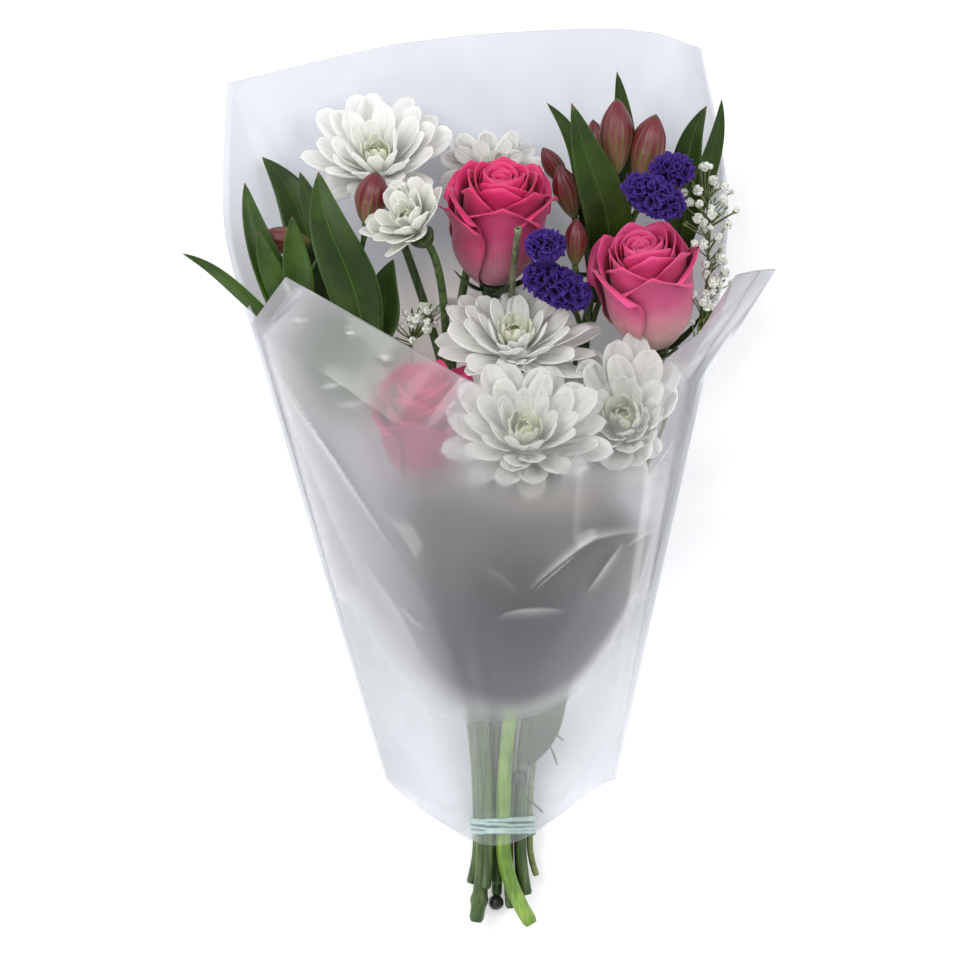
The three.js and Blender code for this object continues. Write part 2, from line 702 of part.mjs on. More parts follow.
// A head of papery cups packed side by side over a small core.
function staticeHead({ centre, size, turn = 0, cups, seed }) {
  const draw = dice(seed);
  const shape = at(size);
  const core = solidOfGeometry(
    new THREE.SphereGeometry(1, 6, 4)
      .scale(shape.x - STATICE_CORE, shape.y - STATICE_CORE, shape.z - STATICE_CORE),
  );
  const golden = Math.PI * (3 - Math.sqrt(5));
  const funnels = Array.from({ length: cups }, (_, k) => {
    const rise = 1 - (1.45 * (k + 0.5)) / cups;
    const ring = Math.sqrt(1 - rise * rise);
    const out = vec(ring * Math.cos(golden * k), ring * Math.sin(golden * k), rise);
    const mouth = out.clone().multiply(shape);
    const seat = out.clone().multiply(shape.clone().subScalar(STATICE_CORE + 1.6));
    const long = mouth.distanceTo(seat);
    const lip = 2.8 + 0.5 * draw();
    const rings = [
      [0.9, 0],
      [lip, long],
    ].map(([r, z]) => Array.from({ length: 4 }, (_, j) => polar(r, (Math.PI * j) / 2, z)));
    const frame = facing(seat, out, draw() * 6);
    return loft(rings, null, vec(0, 0, long - 1.3)).transform(frame.elements);
  });
  const place = new THREE.Matrix4().makeRotationZ(degToRad(turn)).setPosition(at(centre));
  return fuse([core, ...funnels]).transform(place.elements);
}

// Where the stalk of a head ends, just under its core.
const staticeSeat = ({ centre, size }) =>
  at(centre).add(vec(0, 0, STATICE_CORE - size[2] - TOUCH_GAP));

function staticeStem({ slot, foot, fork, heads }) {
  const away = fork.clone().sub(slotPoint(slot)).add(vec(0, 120, 0));
  const line = stemLine(slot, foot, fork, away);
  const stalks = heads.map((head) =>
    shoot(fork, staticeSeat(head), at(head.leave), at(head.arrive), [1.5, 1.1], 5, 4, 40),
  );
  return fuse([stemAlong(line, slot, 1.8), ...stalks]);
}

// ---------- gypsophila ----------

// Hair-thin branching stems with a small white floret on every twig.
function gypsophilaSpray({ slot, foot, forks, arrive, florets, leaves = [], seed }) {
  const draw = dice(seed);
  const places = forks.map(at);
  const line = stemLine(slot, at(foot), places[0], at(arrive));
  const pieces = [stemAlong([...line, ...places.slice(1)], slot, 0.8, 4)];
  const spine = new THREE.CatmullRomCurve3(places, false, "chordal", 0).getPoints(24);
  florets.map(at).forEach((place) => {
    const below = place.clone().add(vec(0, -9, -4));
    const root = spine.reduce((m, f) => (f.distanceTo(below) < m.distanceTo(below) ? f : m));
    pieces.push(tube([root, place], [0.6, 0.5], 3));
    const puff = new THREE.OctahedronGeometry(2.5 + 0.8 * draw(), 0);
    puff.rotateX(draw() * 3).rotateY(draw() * 3).translate(...place.toArray());
    pieces.push(solidOfGeometry(puff));
  });
  const small = leaves.map(({ from, tip, half }) =>
    lanceLeaf(at(from), at(tip), half, up, vec(0, 0, 1)),
  );
  return fuse([...pieces, ...small]);
}

// ---------- the blooms and where they are ----------

const ROSES = {
  upper: {
    origin: vec(7, 99, 36),
    axis: vec(0.08, 0.86, 0.48),
    spin: 0.75,
    slot: SLOTS.midLeft,
    foot: vec(9, -204, 10.5),
  },
  right: {
    origin: vec(88.5, 67, 37),
    axis: vec(-0.12, 0.83, 0.54),
    spin: 1.3,
    slot: SLOTS.right,
    foot: vec(24, -209.5, 11),
    leaves: [
      { at: -146, tip: [46, -98, 32], half: 7, face: [0.2, 0, 1], bow: [0, 0, 5] },
      { at: -74, tip: [82, -34, 44], half: 10, face: [0.4, -0.2, 1], bow: [0, 0, 6] },
      { at: -36, tip: [97, 6, 46], half: 8, face: [0.4, -0.2, 1], bow: [0, 0, 4] },
    ],
  },
  low: {
    origin: vec(-23.5, -2, 45),
    axis: vec(-0.07, 0.82, 0.55),
    spin: 2.1,
    slot: SLOTS.topLeft,
    foot: vec(3.5, -206, 17.5),
    leaves: [
      { at: -100, tip: [-57, -40, 60], half: 10, face: [-0.3, 0, 1], bow: [0, 0, 6] },
      { at: -82, tip: [12, -28, 74], half: 9, face: [0.1, -0.4, 1], bow: [0, 0, 8] },
    ],
  },
};

const FRONT_MUMS = {
  mum_front_top: {
    eye: vec(18, 65.5, 56),
    axis: tilted(46),
    radius: 44,
    seed: 3,
    spin: -0.23,
    trims: [
      { turn: 270, by: 0.36 },
      { turn: 90, by: 0.16 },
      { turn: 108, by: 0.36, sharp: 30 },
    ],
  },
  mum_front_left: {
    eye: vec(23, 19, 97),
    axis: tilted(36, -2),
    radius: 45,
    seed: 7,
    spin: 0.2,
    trims: [{ turn: 270, by: 0.2 }],
  },
  mum_front_right: {
    eye: vec(73.5, 27, 73.5),
    axis: tilted(26, -8),
    radius: 48,
    seed: 11,
    spin: 0.5,
    trims: [
      { turn: 270, by: 0.25 },
      { turn: 0, by: 0.42 },
      { turn: 180, by: 0.2 },
    ],
  },
};

const BACK_MUMS = {
  mum_back_small: {
    eye: vec(-32, 125, 84),
    axis: vec(-0.5, 0.6, 0.63),
    radius: 25,
    seed: 17,
    close: 20,
    fullness: 0.7,
  },
  mum_back_left: { eye: vec(-50, 157, 27), axis: tilted(22, -6), radius: 42, seed: 19, fullness: 0.8, spin: 0.15 },
  mum_back_right: {
    eye: vec(6, 154, 18),
    axis: tilted(2),
    radius: 29,
    seed: 23,
    close: -9,
    fullness: 0.85,
    trims: [{ turn: 90, by: 0.18 }],
  },
};

const LEFT_BUDS = {
  alstroemeria_bud_left_pink: { foot: vec(-84, 118, 41), tip: vec(-111, 121, 45), radius: 7 },
};
const INNER_LEFT_BUDS = {
  alstroemeria_bud_left_red: { foot: vec(-56, 127, 62), tip: vec(-51, 153, 70), radius: 8.6 },
};
const RIGHT_BUDS = {
  alstroemeria_bud_mid_a: { foot: vec(48, 131, 41), tip: vec(40, 157, 48), radius: 6.5 },
  alstroemeria_bud_mid_b: { foot: vec(44, 147, 30), tip: vec(32, 166, 36), radius: 5 },
  alstroemeria_bud_mid_c: { foot: vec(48, 107, 55), tip: vec(48.5, 130, 61), radius: 5.5 },
  alstroemeria_bud_right_a: { foot: vec(68, 152, 50), tip: vec(69, 190, 56), radius: 8.5 },
  alstroemeria_bud_right_b: { foot: vec(80, 149, 44), tip: vec(88.5, 182, 54), radius: 9 },
  alstroemeria_bud_right_c: { foot: vec(64, 148, 34), tip: vec(57, 180, 38), radius: 6.5 },
};

const STATICE = {
  statice_head_upper_right: {
    centre: [96, 154, 75],
    size: [10.5, 7.5, 8],
    cups: 12,
    seed: 31,
    leave: [0.25, 1, -0.3],
    arrive: [0, -0.7, 1],
  },
  statice_head_right: {
    centre: [87, 140.5, 84],
    size: [16, 9.5, 8.5],
    turn: -28,
    cups: 16,
    seed: 37,
    leave: [0.25, 1, -0.3],
    arrive: [0, -0.7, 1],
  },
  statice_head_mid: {
    centre: [33, 116, 86],
    size: [9.6, 7.5, 8],
    cups: 12,
    seed: 41,
    leave: [-0.3, 1, 0.3],
    arrive: [0, 0, 1],
  },
  statice_head_low: {
    centre: [39, 96, 72],
    size: [18, 9.5, 9],
    turn: -25,
    cups: 17,
    seed: 43,
    leave: [0.15, 0.75, 0.65],
    arrive: [-0.8, 0.1, 0.5],
  },
};

const ALSTROEMERIAS = {
  alstroemeria_outer_left: {
    slot: SLOTS.left,
    foot: vec(-1.5, -223, 9),
    top: vec(-95, 76, 46),
    arrive: vec(-0.3, 0.95, 0.15),
    buds: Object.values(LEFT_BUDS),
    leaves: [
      { at: -66, tip: [-76, -4, 50], half: 9, face: [-0.3, 0, 1], bow: [-4, 0, 8] },
      { at: -8, tip: [-92, 44, 64], half: 8, face: [-0.2, 0, 1], bow: [0, 0, 6] },
      { at: 48, tip: [-117, 148, 56], half: 8.5, face: [0.3, 0, 1], bow: [-6, 0, 8] },
      { at: 58, tip: [-110, 124, 66], half: 7, face: [0.2, 0, 1], bow: [2, 0, 4] },
      { at: 66, tip: [-148, 112.5, 62], half: 3.4, bow: [0, 8, 6] },
      { at: 70, tip: [-93, 131, 70], half: 7.5, face: [0.1, 0, 1], bow: [5, 0, 4] },
    ],
  },
  alstroemeria_inner_left: {
    slot: SLOTS.farLeft,
    foot: vec(-4, -204, 5),
    top: vec(-62, 76, 44),
    arrive: vec(-0.15, 0.95, 0.2),
    buds: Object.values(INNER_LEFT_BUDS),
    leaves: [
      { at: 52, tip: [-80, 153, 72], half: 13, bow: [5, 0, 6] },
      { at: 64, tip: [-109, 162, 19], half: 9.5, face: [0.2, 0, 1], bow: [0, 8, -6] },
      { at: 68, tip: [-90, 154, 38], half: 7, face: [-0.4, 0, 1], bow: [4, 6, 0] },
      { at: 60, tip: [-43, 110, 44], half: 9, face: [-0.2, 0, 1], bow: [6, 0, 0] },
    ],
  },
  alstroemeria_mid_right: {
    slot: SLOTS.lowMidRight,
    foot: vec(16, -216.5, 5),
    top: vec(57, 98, 28),
    arrive: vec(0.1, 0.95, 0.3),
    buds: Object.values(RIGHT_BUDS),
    leaves: [
      { at: 88, tip: [46, 187, 74], half: 12, face: [0.2, 0, 1], bow: [26, -11, -4] },
      { at: 92, tip: [34, 188, 50], half: 6, bow: [18, 10, -1] },
      { at: 95, tip: [69, 204, 42], half: 6.5, bow: [20, 8, -8] },
    ],
  },
  alstroemeria_outer_right: {
    slot: SLOTS.lowRight,
    foot: vec(21.5, -206, 4.5),
    top: vec(102, 115, 16),
    arrive: vec(0.1, 0.98, 0.1),
    leaves: [
      { at: 104, tip: [114, 187, 40], half: 9, face: [-0.2, 0, 1], bow: [-6, 0, 2] },
      { at: 110, tip: [121.5, 190, 46], half: 5.5, face: [0.3, 0, 1], bow: [2, 0, 2] },
    ],
  },
};

const bouquet = new THREE.Group();
const add = (name, solid, material) => bouquet.add(named(name, solid, material));

add("sleeve_back_sheet", backSheet(), filmClear);
add("sleeve_front_sheet", frontSheet(), filmFrosted);
add("stem_tie_band", tieBand(), bandTeal);

for (const [name, rose] of Object.entries(ROSES)) {
  add(`rose_${name}_bloom`, roseBloom(rose), rosePink);
  add(`rose_${name}_stem`, roseStem(rose), stemGreen);
}

for (const [name, mum] of Object.entries({ ...FRONT_MUMS, ...BACK_MUMS }))
  add(name, mumBloom(mum), mumWhite);
add(
  "mum_spray_front_stem",
  mumSprayStem({
    slot: SLOTS.top,
    foot: vec(26.5, FOOT_Y + 3, 18),
    fork: vec(28, -45, 50),
    blooms: Object.values(FRONT_MUMS),
    leaves: [{ at: -84, tip: [58, -34, 70], half: 11, face: [0.2, -0.3, 1], bow: [0, 0, 8] }],
    stub: [vec(14, 10, 42), vec(6, 55, 33), vec(14.9, 83, 37.5), vec(17, 103, 67), vec(19.5, 124.5, 88)],
  }),
  stemGreen,
);
add(
  "mum_spray_back_stem",
  mumSprayStem({
    slot: SLOTS.lowMidLeft,
    foot: vec(9, -210, 4),
    fork: vec(-14, 30, 14),
    blooms: Object.values(BACK_MUMS),
  }),
  stemGreen,
);

for (const [name, plant] of Object.entries(ALSTROEMERIAS)) add(name, leafyStem(plant), leafGreen);
for (const [name, bud] of Object.entries({ ...LEFT_BUDS, ...INNER_LEFT_BUDS, ...RIGHT_BUDS }))
  add(name, alstroemeriaBud(bud), budRed);

add(
  "statice_stem",
  staticeStem({
    slot: SLOTS.midRight,
    foot: vec(15.5, -211, 10.5),
    fork: vec(54, 68, 26),
    heads: Object.values(STATICE),
  }),
  stemGreen,
);
for (const [name, head] of Object.entries(STATICE)) add(name, staticeHead(head), staticeViolet);

add(
  "gypsophila_right",
  gypsophilaSpray({
    slot: SLOTS.farRight,
    foot: [29, -200, 6.5],
    forks: [
      [95, 44, 34],
      [110.5, 74, 47],
      [114, 98, 47],
      [115, 118, 50],
      [114, 138, 54],
    ],
    arrive: [-0.1, 1, 0.34],
    florets: [
      [105, 60, 44],
      [112, 72, 56],
      [114, 86, 59],
      [113, 92, 60],
      [117, 98, 61],
      [113, 107, 62],
      [121, 110, 58],
      [112, 117, 64],
      [119, 121, 62],
      [124, 127, 58],
      [109, 130, 66],
      [116, 132, 68],
      [122, 140, 60],
      [109, 144, 64],
      [117, 149, 62],
      [123, 103, 50],
      [113, 156, 58],
      [105, 138, 60],
    ],
    leaves: [{ from: [110.5, 74, 47], tip: [116, 94, 54], half: 2.6 }],
    seed: 53,
  }),
  gypsophilaWhite,
);
add(
  "gypsophila_left",
  gypsophilaSpray({
    slot: SLOTS.lowLeft,
    foot: [3, -200, 4.5],
    forks: [
      [-34, 50, 16],
      [-34, 70, 30],
    ],
    arrive: [-0.1, 1, 0.06],
    florets: [
      [-40, 77, 40],
      [-31, 80, 42],
      [-27, 86, 38],
      [-26, 75, 46],
      [-14, 88, 34],
    ],
    seed: 59,
  }),
  gypsophilaWhite,
);

bouquet.name = "mixed_flower_bouquet";
export default bouquet;
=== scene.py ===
"""Mixed flower bouquet in a film sleeve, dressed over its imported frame.

Lengths below are millimetres, in the frame's axes: +Y from the cut stems to the blooms, +Z up off
the table. The centre lines of the stems, the places of the blooms and the sleeve's edges repeat the
construction's own values; petals, veins, folds and finishes are modelled here.
"""

import math
import random

import bpy
import numpy as np
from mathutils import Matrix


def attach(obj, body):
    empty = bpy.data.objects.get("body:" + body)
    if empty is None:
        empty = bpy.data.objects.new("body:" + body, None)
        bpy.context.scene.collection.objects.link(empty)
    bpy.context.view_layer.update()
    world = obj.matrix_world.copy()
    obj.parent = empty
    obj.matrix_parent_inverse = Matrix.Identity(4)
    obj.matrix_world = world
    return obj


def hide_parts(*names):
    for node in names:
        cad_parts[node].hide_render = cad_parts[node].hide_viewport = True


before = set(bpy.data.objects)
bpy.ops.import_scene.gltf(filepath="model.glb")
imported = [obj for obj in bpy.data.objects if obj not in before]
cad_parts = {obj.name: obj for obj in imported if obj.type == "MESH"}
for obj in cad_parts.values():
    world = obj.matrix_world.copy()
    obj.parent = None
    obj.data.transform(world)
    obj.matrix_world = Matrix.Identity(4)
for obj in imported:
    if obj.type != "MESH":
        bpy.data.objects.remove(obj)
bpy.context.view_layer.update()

# ---------- driving dimensions ----------

MM = 0.001
TURN = 2 * math.pi
GOLDEN_ANGLE = math.pi * (3 - math.sqrt(5))

# The sleeve: where its two sheets are sealed, its free corners and its heights.
SEAM_FOOT = {"left": (-47, -151), "right": (69, -151)}
SEAM_FOOT_Z = 9
SEAM_TOP = {"left": (-114, 77), "right": (112, 48)}
SEAM_TOP_Z = 58
HEM = [
    (-47, -151), (-36, -161.5), (-20, -173), (-3, -182), (11, -184), (26, -179), (43, -168),
    (57, -157), (69, -151),
]
BACK_FREE = {"left": [(-128, 128), (-127, 199.5)], "right": [(125, 134), (112, 217)]}
BACK_TOP = [(-127, 199.5), (-40, 220), (40, 227), (85, 226), (112, 217)]
BACK_CURL = 14
EAR = {"left": (-96, 100.5), "right": (148, 104.5)}
EAR_Z = {"left": 82, "right": 70}
NECKLINE = [EAR["left"], (-27, 61), (0, 47), (33, 41), (62, 47), (90, 58), EAR["right"]]
EAR_FLAP = 10.5
EAR_FLAP_WAY = (-0.626, 0.78)
CROWN = 137
HEM_CROWN = 29
FILM = 0.2
FILM_GAP = 1.1
WELD = 0.955  # share of the half width inside the flat welded margin
FRONT_SEALED = 11 / 12  # share of each side edge, from the hem, that is sealed
BACK_SEALED = 0.6

# The tie, and each stem's place in the bundle there: x from the middle, height, radius.
TIE_X = 12
TIE_Y = -176
BAND_WIDTH = 12
BAND_LOOPS = 6
SLOTS = {
    "far_left": (-12.6, 5.7, 2.6),
    "low_left": (-8.0, 4.7, 1.6),
    "low_mid_left": (-3.0, 5.7, 2.6),
    "low_mid_right": (2.6, 5.7, 2.6),
    "painted_light_low_right": (8.2, 5.7, 2.6),
    "far_right": (13.6, 7.8, 1.6),
    "left": (-9.8, 12.4, 3.7),
    "mid_left": (-3.0, 11.4, 2.6),
    "mid_right": (2.7, 11.4, 2.6),
    "right": (8.9, 11.7, 3.0),
    "top_left": (-6.9, 18.9, 2.4),
    "top": (0.2, 18.4, 3.8),
}
LOWEST_STEM = 5
CUT_END_Y = -195  # every stem is cut below this

ROSE_LENGTH = 60
ROSE_RADIUS = 24
ROSE_PETAL = 0.4
MUM_PETAL = 0.35
MUM_UNDERSIDE = 0.24  # depth of a chrysanthemum under its eye, as a share of its radius
OPEN_RINGS = 4  # the outer rings of a chrysanthemum, which are fully open
LEAF_THICKNESS = 0.45
STATICE_CORE = 3.4  # from a statice head's outline in to its core

# ---------- small geometry helpers ----------


def vec(*values):
    return np.array(values, float)


def unit(v):
    v = np.asarray(v, float)
    return v / np.linalg.norm(v, axis=-1, keepdims=True)


def lerp(a, b, share):
    return a + (b - a) * share


def smooth(x, low, high):
    share = np.clip((x - low) / (high - low), 0, 1)
    return share * share * (3 - 2 * share)


def dent(u, width):
    """A soft narrow bump in the middle of a petal."""
    return np.exp(-((u / width) ** 2))


def polar(radius, angle, z):
    """Points at a radius, an angle and a height."""
    return np.column_stack([radius * np.cos(angle), radius * np.sin(angle), z])


def turned_about_z(angle):
    c, s = math.cos(angle), math.sin(angle)
    return np.array([[c, -s, 0], [s, c, 0], [0, 0, 1]])


def around_dome(k, count, reach):
    """The k-th of so many directions spread evenly from the top of a dome down."""
    rise = 1 - reach * (k + 0.5) / count
    ring = math.sqrt(1 - rise * rise)
    return vec(ring * math.cos(GOLDEN_ANGLE * k), ring * math.sin(GOLDEN_ANGLE * k), rise)


def stray(draw):
    """A drawn number from -0.5 to 0.5."""
    return draw.random() - 0.5


def strays(draw):
    """A drawn step of up to a half either way along each axis."""
    return vec(stray(draw), stray(draw), stray(draw))


def bezier(controls, steps):
    """Points along the Bezier curve with these control points."""
    share = np.linspace(0, 1, steps + 1)[:, None]
    layer = [np.asarray(c, float)[None, :] for c in controls]
    while len(layer) > 1:
        layer = [lerp(a, b, share) for a, b in zip(layer, layer[1:])]
    return layer[0]


def spline(points, share):
    """Points of the smooth curve through these points, each span taking as much of the share."""
    points = np.asarray(points, float)
    last = len(points) - 1
    place = share * last
    i = np.clip(place.astype(int), 0, last)
    w = (place - i)[:, None]
    p0, p1, p2, p3 = (points[np.clip(i + k, 0, last)] for k in (-1, 0, 1, 2))
    v0 = (p2 - p0) / 2
    v1 = (p3 - p1) / 2
    return (2 * p1 - 2 * p2 + v0 + v1) * w**3 + (3 * p2 - 3 * p1 - 2 * v0 - v1) * w**2 + v0 * w + p1


def facing(origin, axis, spin=0.0):
    """A bloom's own frame: z the way it faces, y leaning to the bouquet's top."""
    z = unit(axis)
    y = unit(vec(0, 1, 0) - z * z[1])
    return np.column_stack([np.cross(y, z), y, z]) @ turned_about_z(spin), np.asarray(origin, float)


def placed(points, place):
    axes, origin = place
    return points @ axes.T + origin


def tilted(towards_top, towards_right=0):
    top, right = math.radians(towards_top), math.radians(towards_right)
    return unit(vec(math.sin(right), math.sin(top), math.cos(top)))


# ---------- modelling helpers ----------


def alone():
    bpy.ops.object.select_all(action="DESELECT")


def picked(*pieces):
    alone()
    for piece in pieces:
        piece.select_set(True)
    bpy.context.view_layer.objects.active = pieces[0]


def points_of(piece):
    flat = np.empty(len(piece.data.vertices) * 3)
    piece.data.vertices.foreach_get("co", flat)
    return flat.reshape(-1, 3)


def shape(piece, points):
    """Moves the vertices of a piece to these points, given in millimetres."""
    piece.data.vertices.foreach_set("co", np.ascontiguousarray(points * MM).ravel())
    piece.data.update()


def cloth_grid(columns, rows):
    """A flat grid with its two own coordinates: across from -1 to 1, and along from 0 to 1."""
    alone()
    bpy.ops.mesh.primitive_grid_add(x_subdivisions=columns, y_subdivisions=rows, size=2)
    piece = bpy.context.object
    flat = points_of(piece)
    return piece, flat[:, 0].copy(), (flat[:, 1] + 1) / 2


def mark(piece, name, value):
    """A number that the finish reads at each vertex."""
    attribute = piece.data.attributes.get(name) or piece.data.attributes.new(name, "FLOAT", "POINT")
    values = np.broadcast_to(np.asarray(value, float), (len(piece.data.vertices),))
    attribute.data.foreach_set("value", np.ascontiguousarray(values))


def painted(piece, finish):
    piece.data.materials.clear()
    piece.data.materials.append(finish)
    return piece


def copies(pattern, shapes, tones, finish):
    """The pattern copied once for each shape, each copy with its own mesh and tone."""
    made = []
    for points, tone in zip(shapes, tones):
        piece = pattern.copy()
        piece.data = pattern.data.copy()
        bpy.context.collection.objects.link(piece)
        shape(piece, points)
        mark(piece, "tone", tone)
        made.append(painted(piece, finish))
    return made


def joined(name, pieces):
    picked(*pieces)
    if len(pieces) > 1:
        bpy.ops.object.join()
    piece = bpy.context.object
    piece.name = piece.data.name = name
    return piece


def thickened(piece, thickness, offset=0.0):
    """A sheet given its thickness with an applied Solidify."""
    picked(piece)
    wall = piece.modifiers.new("wall", "SOLIDIFY")
    wall.thickness = thickness * MM
    wall.offset = offset
    wall.use_even_offset = False
    bpy.ops.object.modifier_apply(modifier=wall.name)
    return piece


def seam_closed(piece, gap):
    """Merges the vertices that meet, and turns every face outwards."""
    picked(piece)
    bpy.ops.object.mode_set(mode="EDIT")
    bpy.ops.mesh.select_all(action="SELECT")
    bpy.ops.mesh.remove_doubles(threshold=gap * MM)
    bpy.ops.mesh.normals_make_consistent(inside=False)
    bpy.ops.object.mode_set(mode="OBJECT")
    return piece


TUBES = {}


def tube_pattern(sides, rings):
    """A straight closed tube, one ring to the millimetre, kept with its vertices' places."""
    if (sides, rings) not in TUBES:
        piece, across, along = cloth_grid(sides, rings + 1)
        row = np.rint(along * (rings + 1))
        wall = (row > 0) & (row < rings + 1)
        shape(piece, polar(wall, across * math.pi, row))
        seam_closed(piece, 0.01)
        TUBES[sides, rings] = piece, points_of(piece) / MM
    return TUBES[sides, rings]


def carried_frames(line):
    """Two directions square to a line at each of its points, carried along without twist."""
    steps = np.gradient(line, axis=0)
    lengths = np.linalg.norm(steps, axis=1)
    ahead = steps[0] / lengths[0]
    side = unit(np.cross(ahead, vec(0, 0, 1) if abs(ahead[2]) < 0.9 else vec(0, 1, 0)))
    lift = np.cross(ahead, side)
    frames = []
    for step, length in zip(steps, lengths):
        ahead = step / length if length > 0.001 else ahead
        side = unit(side - ahead * (ahead @ side))
        lift = lift - ahead * (ahead @ lift)
        lift = unit(lift - side * (side @ lift))
        frames.append((side, lift))
    return np.array(frames).transpose(1, 0, 2)


def rods(name, lines, finish, sides=10):
    """Round stems along lines of points, with a radius at each point and a flat cut at each end."""
    made = []
    for line, radii in lines:
        pattern, at = tube_pattern(sides, len(line))
        i = np.clip(np.rint(at[:, 2]).astype(int) - 1, 0, len(line) - 1)
        side, lift = carried_frames(line)
        radius = np.asarray(radii, float)[i][:, None]
        points = line[i] + radius * (at[:, :1] * side[i] + at[:, 1:2] * lift[i])
        made += copies(pattern, [points], [0.5], finish)
    return joined(name, made)


def turned(profile, finish, place, tone=0.5):
    """A round form turned from a profile of radius and height, foot first."""
    piece, across, along = cloth_grid(20, 12)
    outline = spline(profile, along)
    local = polar(np.maximum(outline[:, 0], 0), across * math.pi, outline[:, 1])
    shape(piece, placed(local, place))
    seam_closed(piece, 0.03)
    mark(piece, "tone", tone)
    return painted(piece, finish)


def settled(piece, slot, *nodes):
    """The finished piece: smooth, attached to the root, and hiding the nodes that it stands for; its slot
    is not used.
    """
    picked(piece)
    bpy.ops.object.shade_smooth()
    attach(piece, "root")
    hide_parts(*nodes)
    return piece


# ---------- finishes ----------


def rgb(red, green, blue):
    """A colour given as the eye reads it, from 0 to 255."""
    shares = (red / 255, green / 255, blue / 255)
    linear = [c / 12.92 if c <= 0.04045 else ((c + 0.055) / 1.055) ** 2.4 for c in shares]
    return (*linear, 1.0)


UNTINTED = rgb(255, 255, 255)


class Wire:
    """A node's output that takes part in arithmetic, with a Math node for each step."""

    def __init__(self, make, socket):
        self.make = make
        self.socket = socket

    def step(self, operation, a, b=0.0):
        return self.make.out("ShaderNodeMath", {0: a, 1: b}, operation=operation)

    def __add__(self, other):
        return self.step("ADD", self, other)

    def __sub__(self, other):
        return self.step("SUBTRACT", self, other)

    def __rsub__(self, other):
        return self.step("SUBTRACT", other, self)

    def __mul__(self, other):
        return self.step("MULTIPLY", self, other)

    def __truediv__(self, other):
        return self.step("DIVIDE", self, other)

    def __pow__(self, other):
        return self.step("POWER", self, other)

    def __abs__(self):
        return self.step("ABSOLUTE", self)

    def at_least(self, other):
        return self.step("MAXIMUM", self, other)

    def eased(self, start, end):
        """0 at the start, 1 at the end, and a smooth rise between them."""
        stops = {"Value": self, "From Min": start, "From Max": end}
        return self.make.out("ShaderNodeMapRange", stops, interpolation_type="SMOOTHSTEP")

    def between(self, low, high):
        """A share drawn out to run from low to high."""
        return self.make.out("ShaderNodeMapRange", {"Value": self, "To Min": low, "To Max": high})


class Nodes:
    """Adds nodes to a tree, each with its values and links given by socket name."""

    def __init__(self, tree):
        self.tree = tree

    def feed(self, socket, value):
        if isinstance(value, Wire):
            self.tree.links.new(value.socket, socket)
        else:
            socket.default_value = value

    def add(self, kind, inputs=None, **settings):
        node = self.tree.nodes.new(kind)
        for key, value in settings.items():
            setattr(node, key, value)
        for key, value in (inputs or {}).items():
            self.feed(node.inputs[key], value)
        return [Wire(self, socket) for socket in node.outputs]

    def out(self, kind, inputs=None, **settings):
        return self.add(kind, inputs, **settings)[0]

    def mix(self, share, a, b, blend="MIX"):
        inputs = {0: share, 6: a, 7: b}
        return self.add("ShaderNodeMix", inputs, data_type="RGBA", blend_type=blend)[2]

    def noise(self, place, scale, detail):
        return self.add("ShaderNodeTexNoise", {"Vector": place, "Scale": scale, "Detail": detail})

    def relief(self, height, strength, distance):
        """The normal of a surface with this height on it."""
        inputs = {"Strength": strength, "Distance": distance, "Height": height}
        return self.out("ShaderNodeBump", inputs)

    def place(self):
        """Where a point is in the frame, in metres."""
        return self.add("ShaderNodeTexCoord")[3]

    def own_place(self):
        """Where a point is on its own petal, leaf or sheet, in shares."""
        return self.out("ShaderNodeUVMap", uv_map="UVMap")

    def parts(self, place):
        return self.add("ShaderNodeSeparateXYZ", {0: place})

    def marked(self, name):
        """The number that the piece carries under this name."""
        return self.add("ShaderNodeAttribute", attribute_name=name)[2]


FLOAT, COLOUR, VECTOR = (f"NodeSocket{kind}" for kind in ("Float", "Color", "Vector"))


def group(name, inputs, outputs, fill):
    """A node group with named inputs and outputs, and the function that wires them."""
    tree = bpy.data.node_groups.new(name, "ShaderNodeTree")
    for way, sockets in (("INPUT", inputs), ("OUTPUT", outputs)):
        for label, kind in sockets.items():
            tree.interface.new_socket(label, in_out=way, socket_type=kind)
    make = Nodes(tree)
    given = tree.nodes.new("NodeGroupInput").outputs
    ends = tree.nodes.new("NodeGroupOutput").inputs
    for end, value in zip(ends, fill(make, *(Wire(make, given[label]) for label in inputs))):
        make.feed(end, value)
    return tree


def petal_lines(make, count, wander, distance):
    """Fine lines that run along a petal or leaf, from its own coordinates."""
    place = make.own_place()
    bent = make.noise(place, 3.0, 2.0)[0] * wander + make.parts(place)[0] * count
    wave = bent.step("SINE", bent * TURN)
    lines = wave * 0.5 + 0.5
    return lines, make.relief(lines, 1.0, distance)


def mottle(make, first, second, scale, stretch):
    """Two colours broken up by soft noise over the piece."""
    drawn = make.out("ShaderNodeVectorMath", {0: make.place(), 1: stretch}, operation="MULTIPLY")
    mask = make.noise(drawn, scale, 4.0)[0].eased(0.35, 0.65)
    return make.mix(mask, first, second), mask


def crinkle(make, scale, distance):
    """The small flat facets of film that has been handled."""
    place = make.place()
    haze, wide = make.noise(place, 14.0, 3.0)
    bent = make.mix(0.12, place, wide)
    cells = make.out("ShaderNodeTexVoronoi", {"Vector": bent, "Scale": scale}, feature="F1")
    return make.relief(cells + haze, 0.7, distance), haze


PETAL_LINES = group(
    "petal_lines",
    {"Count": FLOAT, "Wander": FLOAT, "Distance": FLOAT},
    {"Lines": FLOAT, "Normal": VECTOR},
    petal_lines,
)
MOTTLE = group(
    "mottle",
    {"First": COLOUR, "Second": COLOUR, "Scale": FLOAT, "Stretch": VECTOR},
    {"Color": COLOUR, "Mask": FLOAT},
    mottle,
)
CRINKLE = group(
    "crinkle", {"Scale": FLOAT, "Distance": FLOAT}, {"Normal": VECTOR, "Haze": FLOAT}, crinkle
)


